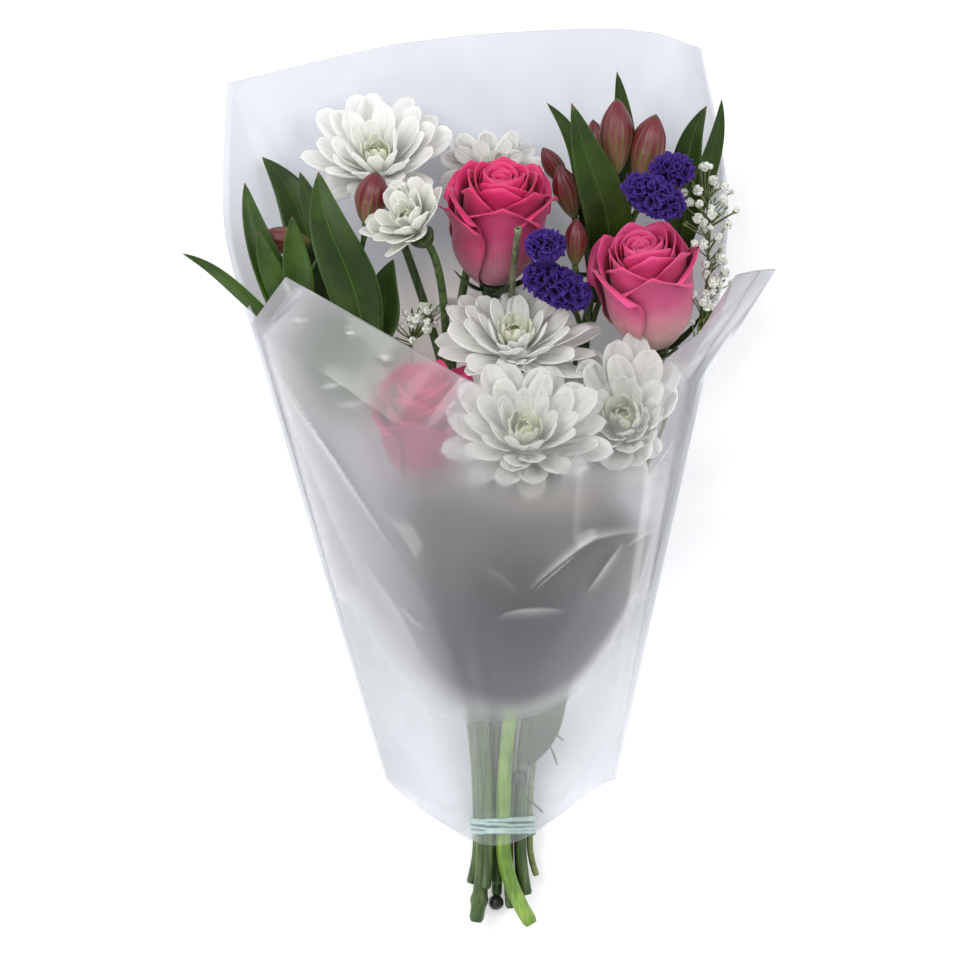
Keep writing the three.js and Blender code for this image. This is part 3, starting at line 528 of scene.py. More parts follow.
class Finish(Nodes):
    """A new material, with its shader's constants and what feeds its other sockets."""

    def __init__(self, name, **constants):
        self.material = bpy.data.materials.new(name)
        self.material.use_nodes = True
        super().__init__(self.material.node_tree)
        self.wired(**constants)

    def wired(self, **values):
        shader = self.tree.nodes["Principled BSDF"]
        for key, value in values.items():
            self.feed(shader.inputs[key.replace("_", " ")], value)
        return self.material

    def grouped(self, tree, **inputs):
        return self.add("ShaderNodeGroup", inputs, node_tree=tree)

    def lined(self, count, wander, distance):
        return self.grouped(PETAL_LINES, Count=count, Wander=wander, Distance=distance)

    def mottled(self, first, second, scale, stretch=(1.0, 1.0, 1.0)):
        return self.grouped(MOTTLE, First=first, Second=second, Scale=scale, Stretch=stretch)

    def flecked(self, colour, share, tint, scale):
        """A colour with soft flecks of a tint laid over it."""
        return self.mix(share, colour, self.mottled(UNTINTED, tint, scale)[0], "MULTIPLY")


def rose_finish():
    """Hot pink, deepest in the heart, dusky on the outer petals and pale at each petal's foot."""
    make = Finish(
        "rose_petal",
        Roughness=0.55,
        Sheen_Weight=0.2,
        Sheen_Roughness=0.4,
        Subsurface_Weight=0.12,
        Subsurface_Scale=0.002,
    )
    blush = make.marked("blush")
    along = make.parts(make.own_place())[1]
    lines, relief = make.lined(17.0, 2.2, 0.00006)
    # The inner petals darken towards their foot: the rose's own deeper colour, and painted shade deep
    # between the petals.
    heart = make.mix(along, rgb(96, 2, 32), rgb(204, 16, 82))
    foot = make.mix(blush, rgb(154, 78, 104), rgb(218, 178, 168))
    dusky = make.mix(blush, rgb(174, 42, 94), rgb(206, 82, 130))
    body = make.mix(make.marked("tone"), heart, make.mix(along.eased(0.12, 0.72), foot, dusky))
    lip = make.mix(blush, rgb(216, 36, 106), rgb(226, 76, 138))
    rimmed = make.mix(along.eased(0.8, 0.97), body, lip)
    veined = make.mix(0.03, make.flecked(rimmed, 0.6, rgb(240, 218, 230), 120.0), lines, "MULTIPLY")
    return make.wired(Base_Color=veined, Normal=relief)


def white_finish(name, foot, blade, glow, softness):
    """White petals, greenish yellow towards the foot and in the middle of the bloom."""
    make = Finish(
        name,
        Roughness=0.6,
        Sheen_Weight=0.15,
        Subsurface_Weight=glow,
        Subsurface_Scale=softness,
        Subsurface_Radius=(1.0, 1.0, 0.85),
    )
    along = make.parts(make.own_place())[1]
    lines, relief = make.lined(4.0, 0.35, 0.00016)
    young = make.mix(along.eased(0.0, 0.85), rgb(174, 198, 58), rgb(224, 229, 160))
    body = make.mix(make.marked("tone"), young, make.mix(along.eased(0.0, 0.35), foot, blade))
    veined = make.mix(0.035, make.flecked(body, 0.7, rgb(246, 247, 243), 120.0), lines, "MULTIPLY")
    return make.wired(Base_Color=veined, Normal=relief)


def leaf_finish():
    """Glossy green with fine parallel veins, brown at the very tip."""
    make = Finish("leaf", Roughness=0.42, IOR=1.36, Coat_Weight=0.1, Coat_Roughness=0.25)
    across, along, _ = make.parts(make.own_place())
    lines, relief = make.lined(13.0, 0.9, 0.00005)
    dark = make.mottled(rgb(18, 34, 4), rgb(32, 52, 8), 60.0)[0]
    light = make.mottled(rgb(46, 76, 10), rgb(66, 96, 20), 60.0)[0]
    veined = make.mix(lines * 0.045, make.mix(make.marked("tone"), dark, light), rgb(104, 140, 66))
    off_rib = abs(across - 0.5)
    ribbed = make.mix(off_rib.eased(0.025, 0.0), veined, rgb(64, 94, 36))
    edged = make.mix(off_rib.eased(0.46, 0.5) * 0.2, ribbed, rgb(100, 128, 62))
    tipped = make.mix(along.eased(0.965, 1.0), edged, rgb(96, 66, 30))
    return make.wired(Base_Color=tipped, Normal=relief)


def stem_finish(name, first, second, roughness=0.45):
    """A green stem, streaked along its length."""
    make = Finish(name, Roughness=roughness)
    streaked, streaks = make.mottled(first, second, 420.0, (1.0, 0.08, 1.0))
    colour = make.flecked(streaked, 0.8, rgb(196, 204, 176), 55.0)
    return make.wired(Base_Color=colour, Normal=make.relief(streaks, 0.5, 0.0002))


def speckled_finish(name, first, second, scale=400.0, roughness=0.6, distance=0.0002, **constants):
    """A colour broken up by fine noise, with the same noise as relief."""
    make = Finish(name, Roughness=roughness, **constants)
    colour, specks = make.mottled(first, second, scale)
    return make.wired(Base_Color=colour, Normal=make.relief(specks, 0.6, distance))


def bud_finish():
    """Dusky red sepals over a pale striped foot, with green streaks and a dark green point."""
    make = Finish("bud_sepal", Roughness=0.42, Coat_Weight=0.1)
    across, along, _ = make.parts(make.own_place())
    lines, relief = make.lined(6.0, 0.8, 0.00018)
    red = make.mix(along.eased(0.22, 0.55), rgb(122, 72, 60), rgb(96, 8, 28))
    dusky = make.mix(along.eased(0.15, 0.7), rgb(124, 92, 66), rgb(104, 18, 34))
    body = make.mix(make.marked("tone"), red, dusky)
    pale = make.mix(along.eased(0.26, 0.05), body, rgb(126, 128, 78))
    streaks = lines.eased(0.62, 0.95) * along.eased(0.85, 0.2) * 0.75
    streaked = make.mix(streaks, pale, rgb(98, 108, 40))
    rimmed = make.mix(abs(across - 0.5).eased(0.4, 0.5) * 0.5, streaked, rgb(88, 20, 34))
    pointed = make.mix(along.eased(0.86, 0.97), rimmed, rgb(66, 78, 32))
    return make.wired(Base_Color=pointed, Normal=relief)


def statice_finish():
    """Papery violet cups, pleated, darker at the foot."""
    make = Finish(
        "statice_cup",
        Roughness=0.75,
        Sheen_Weight=0.35,
        Sheen_Roughness=0.4,
        Sheen_Tint=rgb(140, 108, 232),
    )
    along = make.parts(make.own_place())[1]
    lines, relief = make.lined(15.0, 0.6, 0.0004)
    violet = make.mix(along.eased(0.1, 1.0), rgb(17, 4, 44), rgb(74, 34, 142))
    pleated = make.mix(0.35, make.flecked(violet, 0.8, rgb(188, 170, 236), 300.0), lines, "MULTIPLY")
    return make.wired(Base_Color=pleated, Normal=relief)


def shadow_share(make, solid, lets_through):
    """The film's cover, thinner for light on its way to what is inside."""
    is_shadow_ray = make.add("ShaderNodeLightPath")[1]
    return solid * (is_shadow_ray * -lets_through + 1.0)


def around(x, y, centre, reach):
    """How far a place is from a centre, as a share of the reach across and along."""
    dx = (x - centre[0] * MM) / (reach[0] * MM)
    dy = (y - centre[1] * MM) / (reach[1] * MM)
    return (dx * dx + dy * dy) ** 0.5


def clear_film_finish():
    """Clear film with a faint blue haze, and painted light: warmer under the blooms and lighter low on the
    right.
    """
    make = Finish("clear_film", Roughness=0.25, IOR=1.3)
    relief, haze = make.grouped(CRINKLE, Scale=26.0, Distance=0.0004)
    x, y, _ = make.parts(make.place())
    handled = make.mix(haze, rgb(186, 190, 198), rgb(199, 203, 211))
    # Painted light: lighter low on the right, and lighter and warmer under the blooms where the film lies
    # in shade.
    painted_light_low_right = x.eased(15 * MM, 55 * MM) * y.eased(-60 * MM, -90 * MM)
    haze_and_painted_light = make.mix(painted_light_low_right, handled, rgb(213, 216, 223))
    painted_light_under_blooms = around(x, y, (0, 66), (80, 60)).eased(1.0, 0.4)
    tint = make.mix(painted_light_under_blooms, haze_and_painted_light, rgb(246, 236, 231))
    cover = shadow_share(make, haze.between(0.42, 0.48), 0.9)
    return make.wired(Base_Color=tint, Normal=relief, Alpha=cover)


# Where the front film looks different, some zones being painted light and shade: centre, reach
# across and along, and the shares of that reach where the difference starts and is whole.
FILM_ZONES = {
    "left_mum": ((22, 30), (43, 43), (1.05, 0.62)),
    "right_mum": ((74, 34), (42, 42), (1.05, 0.62)),
    "rose": ((-29, 31), (31, 38), (1.1, 0.6)),
    "lit_facet": ((86, 0), (22, 27), (1.3, 0.55)),
    "warm_glow": ((40, -4), (62, 24), (1.0, 0.2)),
    "deep_shade": ((18, -54), (34, 40), (1.0, 0.2)),
    "leaves": ((-60, 60), (46, 44), (1.0, 0.3)),
}


def frosted_film_finish():
    """Frosted film, clear along its welds and below the panel, clearer where it lies on blooms, with
    painted shade, glow and highlights.
    """
    make = Finish(
        "frosted_film",
        IOR=1.38,
        Transmission_Weight=0.72,
        Coat_Weight=0.7,
        Coat_Roughness=0.12,
    )
    x, y, _ = make.parts(make.place())
    across, along, _ = make.parts(make.own_place())
    relief, haze = make.grouped(CRINKLE, Scale=30.0, Distance=0.0003)
    painted_shine = make.marked("painted_shine")
    over = {
        name: around(x, y, centre, reach).eased(*change)
        for name, (centre, reach, change) in FILM_ZONES.items()
    }

    # The printed panel: where the frost is, and where the film rests on the blooms.
    bowl = (abs(x - 8 * MM) / (77.5 * MM)) ** 2.6
    softness = x.eased(20 * MM, -40 * MM) * 1.4 + 1.0
    lower_panel = ((y - bowl * (77 * MM) + 117 * MM) / softness).eased(-6 * MM, 10 * MM)
    panel = lower_panel.at_least(y.eased(-66 * MM, -50 * MM))
    off_middle = abs(across * 2.0 - 1.0)
    welded = (off_middle - (along * 0.11 + 0.84)).eased(-0.01, 0.01)
    weld = welded * y.eased(80 * MM, 66 * MM)
    frost = panel * (1.0 - weld)
    rests = over["left_mum"].at_least(over["right_mum"]).at_least(over["rose"] * 0.7)

    # The colours that show through it, with painted shade over the bunch inside, a painted warm glow
    # under the blooms and a painted lit facet beside them.
    off = (x - 22 * MM) / (y * 0.28 + 71.5 * MM)
    bunch = off.eased(-1.3, -0.65) * off.eased(1.06, 0.95)
    shade = bunch * y.eased(24 * MM, -24 * MM) * (1.0 - over["lit_facet"])
    painted_shade_and_glow = make.mix(y.eased(-35 * MM, -95 * MM), rgb(152, 150, 153), rgb(143, 137, 148))
    painted_shade_and_glow = make.mix(over["deep_shade"] * 0.55, painted_shade_and_glow, rgb(114, 112, 117))
    painted_shade_and_glow = make.mix(over["warm_glow"] * 0.6, painted_shade_and_glow, rgb(192, 185, 175))
    outside = make.mix(over["leaves"], rgb(208, 206, 211), rgb(164, 170, 163))
    crumpled = make.mix(haze.eased(0.4, 0.6), rgb(202, 203, 208), rgb(222, 223, 227))
    outside = make.mix(x.eased(94 * MM, 112 * MM), outside, crumpled)
    outside = make.mix(over["lit_facet"], outside, rgb(224, 222, 227))
    # Painted light: the clear film below the panel is lighter towards the right.
    unprinted_with_painted_light = make.mix(x.eased(10 * MM, 60 * MM), rgb(236, 240, 243), rgb(250, 252, 254))
    colour = make.mix(frost, unprinted_with_painted_light, make.mix(shade, outside, painted_shade_and_glow))
    # Painted highlights go to white and painted shade to grey, and the film covers more where it is
    # painted bright.
    bright = painted_shine.at_least(0.0)
    dark = (painted_shine * -1.0).at_least(0.0) * 0.75
    lit = make.mix(bright, make.mix(dark, colour, rgb(96, 94, 100)), UNTINTED)

    veil = (frost.between(0.21, 0.97) * (1.0 - rests * 0.83)).at_least(weld * 0.46)
    cover = shadow_share(make, veil.at_least(bright * 0.9), 0.85)
    rough = (frost.between(0.3, 0.58) - rests * 0.15).at_least(0.29)
    return make.wired(Base_Color=lit, Roughness=rough, Normal=relief, Alpha=cover)


ROSE = rose_finish()
WHITES = {
    "white": white_finish("white_petal", rgb(212, 218, 176), rgb(222, 222, 214), 0.6, 0.007),
    # The pale petals are the white ones painted lighter, to lift the shade on the blooms that take them.
    "pale": white_finish("painted_light_petal", rgb(230, 233, 214), rgb(242, 242, 237), 0.5, 0.008),
    "cream": white_finish("cream_petal", rgb(206, 212, 170), rgb(219, 219, 207), 0.6, 0.008),
}
LEAF = leaf_finish()
STEM = stem_finish("stem", rgb(52, 76, 30), rgb(86, 110, 54))
BRIGHT_STEM = stem_finish("bright_stem", rgb(96, 134, 40), rgb(134, 164, 68))
STUB = stem_finish("hollow_stub", rgb(88, 92, 66), rgb(138, 140, 114), 0.28)
CUP = speckled_finish("flower_cup", rgb(32, 48, 20), rgb(56, 80, 34))
EYE = speckled_finish("mum_eye", rgb(176, 196, 62), rgb(216, 222, 110), 900.0)
BUD = bud_finish()
STATICE = statice_finish()
GYPS = speckled_finish(
    "gypsophila_floret", rgb(244, 245, 240), rgb(222, 226, 212), 600.0, Sheen_Weight=0.2
)
TWIG = speckled_finish("twig", rgb(84, 104, 48), rgb(120, 132, 74))
DARK_END = speckled_finish("dark_end", rgb(20, 22, 20), rgb(44, 46, 40), 300.0, 0.25)
CUT = speckled_finish("cut_face", rgb(176, 190, 128), rgb(206, 214, 164), 900.0)
RUBBER = speckled_finish(
    "rubber_band", rgb(156, 184, 178), rgb(174, 200, 194), 260.0, 0.42, 0.0001
)
FILM_CLEAR = clear_film_finish()
FILM_FROSTED = frosted_film_finish()

# ---------- the sleeve ----------


def side_edge(side, sealed, free):
    """A sheet's side edge: straight where it is sealed, then free through the points given."""
    foot, end = vec(*SEAM_FOOT[side]), vec(*SEAM_TOP[side])

    def edge(v):
        straight = foot + (end - foot) * (v / sealed)[:, None]
        beyond = spline([tuple(end), *free], np.clip((v - sealed) / (1 - sealed), 0, 1))
        return np.where((v <= sealed)[:, None], straight, beyond)

    return edge


def plan(top, left, right, u, v):
    """Plan places of a sheet between the hem, its top edge and its two side edges."""
    corners = np.array([0.0, 1.0])
    hem_ends, top_ends = spline(HEM, corners), top(corners)
    foot_side = lerp(hem_ends[:1], hem_ends[1:], u[:, None])
    top_side = lerp(top_ends[:1], top_ends[1:], u[:, None])
    between = lerp(foot_side, top_side, v[:, None])
    flat = lerp(spline(HEM, u), top(u), v[:, None]) + lerp(left(v), right(v), u[:, None]) - between
    return flat[:, 0], flat[:, 1]


def sheet_grid(columns, rows):
    """A grid that is finer towards its side edges: across from -1 to 1, and along."""
    piece, across, along = cloth_grid(columns, rows)
    return piece, np.sin(1.4 * across) / math.sin(1.4), along


def seam_height(v, sealed):
    return lerp(SEAM_FOOT_Z, SEAM_TOP_Z, np.minimum(v / sealed, 1))


def film(name, piece, finish, slot, node):
    """The shaped sheet with its finish and its thickness."""
    thickened(painted(piece, finish), FILM, 1.0)
    return settled(joined(name, [piece]), slot, node)


def beside(x, y, path):
    """How far places are from a path, their share of its rise and fall, and their side of it."""
    away = np.full(len(x), 1e9)
    share = np.zeros(len(x))
    side = np.zeros(len(x))
    path = np.asarray(path, float)
    lengths = np.linalg.norm(np.diff(path, axis=0), axis=1)
    start = 0.0
    for (ax, ay), (bx, by), length in zip(path, path[1:], lengths):
        t = np.clip(((x - ax) * (bx - ax) + (y - ay) * (by - ay)) / length**2, 0, 1)
        here = np.hypot(x - lerp(ax, bx, t), y - lerp(ay, by, t))
        nearer = here < away
        away = np.where(nearer, here, away)
        share = np.where(nearer, (start + t * length) / lengths.sum(), share)
        side = np.where(nearer, np.sign((bx - ax) * (y - ay) - (by - ay) * (x - ax)), side)
        start += length
    return away, np.sqrt(np.sin(math.pi * np.clip(share, 0, 1))), side


def ridge(x, y, path, width, height):
    """A sharp fold along a path: highest on the line, gone at its ends and one width away."""
    away, ends, _ = beside(x, y, path)
    return height * ends**3 * np.clip(1 - away / width, 0, 1) ** 1.5


def flanks(x, y, path, width, crest, lit_side):
    """The painted highlight of a fold on its lit side, 1 for the left, and painted shade on the other.

    A fold with no lit side is a short painted glint.
    """
    away, ends, side = beside(x, y, path)
    width = width * (0.2 + 0.8 * ends)
    if lit_side == 0:
        return crest * ends * np.clip(1 - 2 * away / width, 0, 1)
    bright = np.clip(1 - away / width, 0, 1) ** 2.4
    sharp = np.clip(1 - 4 * away / width, 0, 1)
    dark = 0.6 * np.clip(1 - away / (1.6 * width), 0, 1) * (1 - sharp)
    return crest * ends**1.5 * np.where(side * lit_side > 0, bright, sharp - dark)


# Folds of the front sheet: path, width, height, how brightly the crest is painted and its lit side.
FRONT_FOLDS = [
    ([(-104, 57), (-90, 35), (-72, 10), (-56, -14), (-39.5, -39)], 3.6, 0.8, 0.75, -1),
    ([(-106, 62), (-68, 5), (-60, -10)], 5, 1.2, 0.35, -1),
    ([(-102, 50), (-73, -17), (-55, -57)], 9, -2.6, 0.3, 1),
    ([(-109, 40), (-90, -14), (-66, -66)], 6, 1.4, 0.25, 1),
    ([(-58, -40), (-40, -66), (-28, -90)], 8, 1.2, 0.3, -1),
    ([(-41, -60), (-32, -70), (-24, -75)], 5, 1.0, 0.3, -1),
    (
        [(24, -55.5), (31, -48.5), (40, -41), (49, -34), (57.5, -29), (70, -26.5), (87.5, -25)],
        6, 0.9, 0.75, 1,
    ),
    ([(27, -55), (36, -47), (45, -39.5), (53, -34)], 2.4, 0.4, 0.5, 0),
    ([(53, -56.5), (57.5, -50), (62.5, -43), (67.5, -36), (71.5, -30)], 5, 1.2, 0.65, -1),
    ([(72.5, -33.5), (80, -29), (88, -25)], 3.4, 1.0, 0.7, 1),
    ([(8.5, -69), (14, -66), (21, -64.5), (32, -64), (43, -64.5)], 7, 1.0, 0.55, -1),
    ([(0, -40), (14, -50), (22, -58)], 8, 0.8, 0.12, -1),
    ([(87.5, -25), (82, -45), (77, -62), (71, -78)], 1.8, 0.3, 0.5, 0),
    ([(78, -8), (93, 14), (107, 34)], 7, 2.0, 0.5, -1),
    ([(88.5, -25), (98, 8), (106, 34)], 5, -1.8, 0.25, -1),
    ([(112, 40), (101, 0), (91, -38), (76, -90)], 4, 1.6, 0.4, 1),
    ([(104, 26), (92, -24), (80, -66)], 5, -1.8, 0.2, 1),
    ([(112, 60), (126, 76), (144, 100)], 6, 1.8, 0.5, 1),
    ([(104, 60), (122, 80), (136, 96)], 5, -1.4, 0.4, -1),
    ([(104, 70), (116, 78), (128, 92)], 4, 1.2, 0.5, 1),
    ([(98, 52), (114, 64), (124, 74)], 4, 1.2, 0.45, -1),
    ([(-40, -100), (-14, -132), (4, -160)], 9, 1.2, 0.15, 1),
    ([(60, -100), (40, -130), (22, -160)], 9, 1.2, 0.15, -1),
    ([(-97, 99), (-93, 90)], 3.2, 0.6, 1.0, 0),
    ([(-94, 79), (-84, 78)], 2.6, 0.5, 0.9, 0),
    ([(-65, 75), (-62, 69)], 3.2, 0.5, 1.0, 0),
    ([(-49, 60), (-42, 59)], 4.0, 0.6, 0.9, 0),
    ([(-78, 45), (-68, 47)], 3.0, 0.5, 0.8, 0),
    ([(-70, 36), (-55, 38)], 4.0, 0.6, 0.4, 0),
]
# Folds of the back sheet: path, width and height.
BACK_FOLDS = [
    ([(-122, 190), (-96, 150), (-90, 112)], 9, 2.2),
    ([(-60, 214), (-66, 188), (-84, 168)], 8, 1.4),
    ([(100, 214), (92, 196), (96, 170)], 9, 0.8),
    ([(20, 224), (26, 206), (20, 190)], 8, 1.2),
    ([(-20, -90), (-38, -120), (-44, -146)], 7, 1.0),
]


def neckline(share):
    """The top edge of the front sheet, with the flap that stands out behind the right ear."""
    along_flap = 6 * share - 5
    rise = np.minimum((along_flap - 0.48) / 0.2, (1 - along_flap) / 0.3)
    return spline(NECKLINE, share) + EAR_FLAP * np.clip(rise, 0, 1)[:, None] * vec(*EAR_FLAP_WAY)


def sleeve_front():
    """The front sheet over the blooms: welded margins, soft folds towards the tie, sharp creases."""
    piece, s, v = sheet_grid(196, 236)
    left, right = (side_edge(side, FRONT_SEALED, [EAR[side]]) for side in EAR)
    x, y = plan(neckline, left, right, (s + 1) / 2, v)
    inwards = 1 - np.abs(s)
    side = np.clip(np.abs(s) / WELD, 0, 1)
    ear = np.where(s < 0, EAR_Z["left"], EAR_Z["right"])
    edge = lerp(seam_height(v, FRONT_SEALED), ear, smooth(v, FRONT_SEALED, 1))
    crown = lerp(HEM_CROWN, CROWN, smooth(v, 0, 0.72) ** 0.85)
    over_stems = 1 / (1 + (side / 0.5) ** 4) - 1 / 17
    over_blooms = np.maximum(0, 1 - side**6) ** 0.55
    z = edge + (crown - edge) * lerp(over_stems, over_blooms, smooth(v, 0, 0.45))
    from_tie = np.arctan2(x - TIE_X, y - TIE_Y)
    pleats = np.sin(from_tie * 34 + 1.3 * np.sin(from_tie * 9 + v * 3))
    loose = smooth(inwards, 0.05, 0.2)
    z = z + loose * 0.3 * pleats * smooth(v, 0.1, 0.4) * smooth(v, 0.75, 0.5)
    # Painted highlights and painted shade along the folds, read by the frosted film's finish.
    painted_shine = np.zeros(len(x))
    for path, width, height, crest, lit_side in FRONT_FOLDS:
        z = z + loose * ridge(x, y, path, width, height)
        fold = flanks(x, y, path, width, crest, lit_side)
        painted_shine = np.where(np.abs(fold) > np.abs(painted_shine), fold, painted_shine)
    ripple = 0.9 * np.sin(s * 17 + 0.6) + 0.6 * np.sin(s * 31)
    z = z + ripple * smooth(v, 0.9, 1.0) * smooth(inwards, 0.0, 0.15)
    shape(piece, np.column_stack([x, y, z]))
    mark(piece, "painted_shine", painted_shine)
    return film("sleeve_front_film", piece, FILM_FROSTED, "frosted_film", "sleeve_front_sheet")


def sleeve_back():
    """The back sheet: flat on the table, curled up to the welded seams, waved along its free edges."""
    piece, s, v = sheet_grid(130, 170)
    left, right = (side_edge(side, BACK_SEALED, BACK_FREE[side]) for side in BACK_FREE)
    x, y = plan(lambda share: spline(BACK_TOP, share), left, right, (s + 1) / 2, v)
    edge = lerp(seam_height(v, BACK_SEALED) - FILM_GAP, BACK_CURL, smooth(v, BACK_SEALED, 1))
    curled = np.clip((np.abs(s) / 0.97 - 0.55) / 0.45, 0, 1)
    wave = 1.4 * np.sin(x / 13 + 0.4) + 1.0 * np.sin(x / 7.3 + y / 29) + 1.2 * np.sin(y / 15 + x / 41)
    free = smooth(v, 0.62, 1.0) * smooth(np.abs(s), 0.0, 0.3)
    z = edge * curled**2 + free * np.maximum(0, wave)
    for fold in BACK_FOLDS:
        z = z + ridge(x, y, *fold)
    shape(piece, np.column_stack([x, y, z]))
    return film("sleeve_back_film", piece, FILM_CLEAR, "clear_film", "sleeve_back_sheet")


# ---------- stems and leaves ----------


def slot_point(slot, y):
    x, z, _ = SLOTS[slot]
    return vec(TIE_X + x, y, z)


def stem_line(slot, foot, head, arrive):
    """A stem's centre line from its cut foot, through its slot in the tie, up to its head."""
    low = slot_point(slot, TIE_Y - BAND_WIDTH / 2 - 1)
    high = slot_point(slot, TIE_Y + BAND_WIDTH / 2 + 1)
    reach = np.linalg.norm(head - high)
    below = bezier([foot, low + vec(0, (foot[1] - low[1]) * 0.45, 0), low], 22)
    bends = [high + vec(0, reach * 0.42, 0), head - unit(arrive) * reach * 0.16]
    return np.vstack([below, bezier([high, *bends, head], 22)])


def stem_radii(line, slot, head_radius, knots=()):
    """The radius along a stem, thicker at its knots."""
    share = np.clip((line[:, 1] - TIE_Y) / max(1, line[-1, 1] - TIE_Y), 0, 1)
    radii = lerp(SLOTS[slot][2], head_radius, share)
    for y in knots:
        radii = radii * (1 + 0.28 * dent(line[:, 1] - y, 2.2))
    radii[0] *= 0.78
    return radii


def refined(line, steps):
    """The same line with evenly spread points."""
    lengths = np.concatenate([[0], np.cumsum(np.linalg.norm(np.diff(line, axis=0), axis=1))])
    keep = np.concatenate([[True], np.diff(lengths) > 1e-6])
    where = np.linspace(0, lengths[-1], steps + 1)
    return np.column_stack([np.interp(where, lengths[keep], line[keep, k]) for k in range(3)])


def shoot(start, end, leave, arrive, first, last, steps=12, longest_bend=22):
    """A side branch with its radii: it bends no lower than the lowest stem."""
    reach = np.linalg.norm(end - start)
    arrive = np.asarray(arrive, float)
    room = (end[2] - LOWEST_STEM) / max(arrive[2], 0.01)
    bend = min(reach * 0.35, longest_bend, room)
    line = bezier([start, start + unit(leave) * reach * 0.35, end - unit(arrive) * bend, end], steps)
    return line, np.linspace(first, last, steps + 1)


def cut_stems(name, lines, finish=STEM, sides=12):
    """Round stems whose flat cut feet take the pale finish."""
    piece = rods(name, lines, finish, sides)
    piece.data.materials.append(CUT)
    for polygon in piece.data.polygons:
        if len(polygon.vertices) == 3 and polygon.center.y < CUT_END_Y * MM:
            polygon.material_index = len(piece.data.materials) - 1
    return piece


LEAF_PATTERN, LEAF_ACROSS, LEAF_ALONG = cloth_grid(10, 26)


def leaf_shape(foot, tip, half, face, bow, wave, hook):
    """A lance-shaped blade from foot to tip, folded up along its rib and gently waved."""
    u, v = LEAF_ACROSS, LEAF_ALONG
    foot, tip, face = (np.asarray(value, float) for value in (foot, tip, face))
    middle = lerp(foot, tip, 0.5) + np.asarray(bow, float)
    share = v[:, None]
    centre = lerp(lerp(foot, middle, share), lerp(middle, tip, share), share)
    along = unit(lerp(middle - foot, tip - middle, share))
    normal = unit(face - along * (along @ face)[:, None])
    across = np.cross(along, normal)
    width = np.maximum(3.02 * v**0.75 * (1 - v) ** 0.85, 0.1 * (1 - v) + 0.004) * half
    waved = wave * half * np.sin(7 * v + wave * 40) * np.sin(math.pi * v)
    turn = 0.09 * hook * (v - 0.3)
    flat = u * width * np.cos(turn) + hook * np.sin(TURN * v) * v
    rise = 0.3 * width * np.abs(u) ** 1.4 + waved * u * np.abs(u) + u * width * np.sin(turn)
    return centre + across * flat[:, None] + normal * rise[:, None]


def leaf_blades(blades):
    """Leaves from rows of foot, tip, half width, face, bow and tone."""
    shapes = [
        leaf_shape(*blade[:5], wave=0.06 + 0.03 * (k % 3), hook=0.34 * blade[2] * (1, -1, 0.6)[k % 3])
        for k, blade in enumerate(blades)
    ]
    made = copies(LEAF_PATTERN, shapes, [blade[5] for blade in blades], LEAF)
    return thickened(joined("leaves", made), LEAF_THICKNESS)


def point_at(line, y):
    i = int(np.argmax((line[:-1, 1] <= y) & (line[1:, 1] >= y)))
    return lerp(line[i], line[i + 1], (y - line[i, 1]) / (line[i + 1, 1] - line[i, 1]))


def leaves_on(line, leaves, tone):
    """Leaves on a stem from rows of y on the stem, tip, half width, face and bow."""
    return [(point_at(line, y), tip, half, face, bow, tone) for y, tip, half, face, bow in leaves]


def dark_ball(centre):
    """A small dark round growth on a stem."""
    ball = [(0, -4), (2.6, -3), (3.9, 0), (2.8, 2.9), (0, 4)]
    return turned(ball, DARK_END, facing(centre, vec(0.2, -1, 0.1)))


def tie_band():
    """A rubber band wound several times round the bundle."""
    slots = np.array(list(SLOTS.values()))
    angle = np.linspace(0, TURN, 73)
    way = np.column_stack([np.cos(angle), np.sin(angle)])
    outer = slots[np.argmax(slots[:, :2] @ way.T + slots[:, 2:], axis=0)]
    ring = outer[:, :2] + way * (outer[:, 2:] + 1.05)
    loops = []
    for k in range(BAND_LOOPS):
        y = TIE_Y - 2.4 + 1.5 * k + 0.8 * np.sin(angle + 1.7 * k)
        loops.append((np.column_stack([TIE_X + ring[:, 0], y, ring[:, 1]]), np.full(len(angle), 0.75)))
    return settled(rods("rubber_band_loops", loops, RUBBER, 8), "tie_band", "stem_tie_band")


# ---------- roses ----------

ROSES = {
    "upper": dict(
        origin=vec(7, 99, 36), axis=vec(0.08, 0.86, 0.48), spin=0.75, slot="mid_left",
        foot=vec(9, -204, 10.5), seed=5, blush=0.2,
        guards=[(1, 0.86, 0.3, 0.99, 1.28, 36, 168, 1.2, 0.1, 0.12)],
    ),
    "right": dict(
        origin=vec(88.5, 67, 37), axis=vec(-0.12, 0.83, 0.54), spin=1.3, slot="right",
        foot=vec(24, -209.5, 11), seed=8, blush=0.9, knobs=[vec(20.5, -150.5, 15.5)],
        leaves=[
            (-146, (46, -98, 32), 7, (0.2, 0, 1), (0, 0, 5)),
            (-74, (82, -34, 44), 10, (0.4, -0.2, 1), (0, 0, 6)),
            (-36, (97, 6, 46), 8, (0.4, -0.2, 1), (0, 0, 4)),
        ],
    ),
    "low": dict(
        origin=vec(-23.5, -2, 45), axis=vec(-0.07, 0.82, 0.55), spin=2.1, slot="top_left",
        foot=vec(3.5, -206, 17.5), seed=12, blush=0.4,
        leaves=[
            (-100, (-57, -40, 60), 10, (-0.3, 0, 1), (0, 0, 6)),
            (-82, (12, -28, 74), 9, (0.1, -0.4, 1), (0, 0, 8)),
        ],
    ),
}
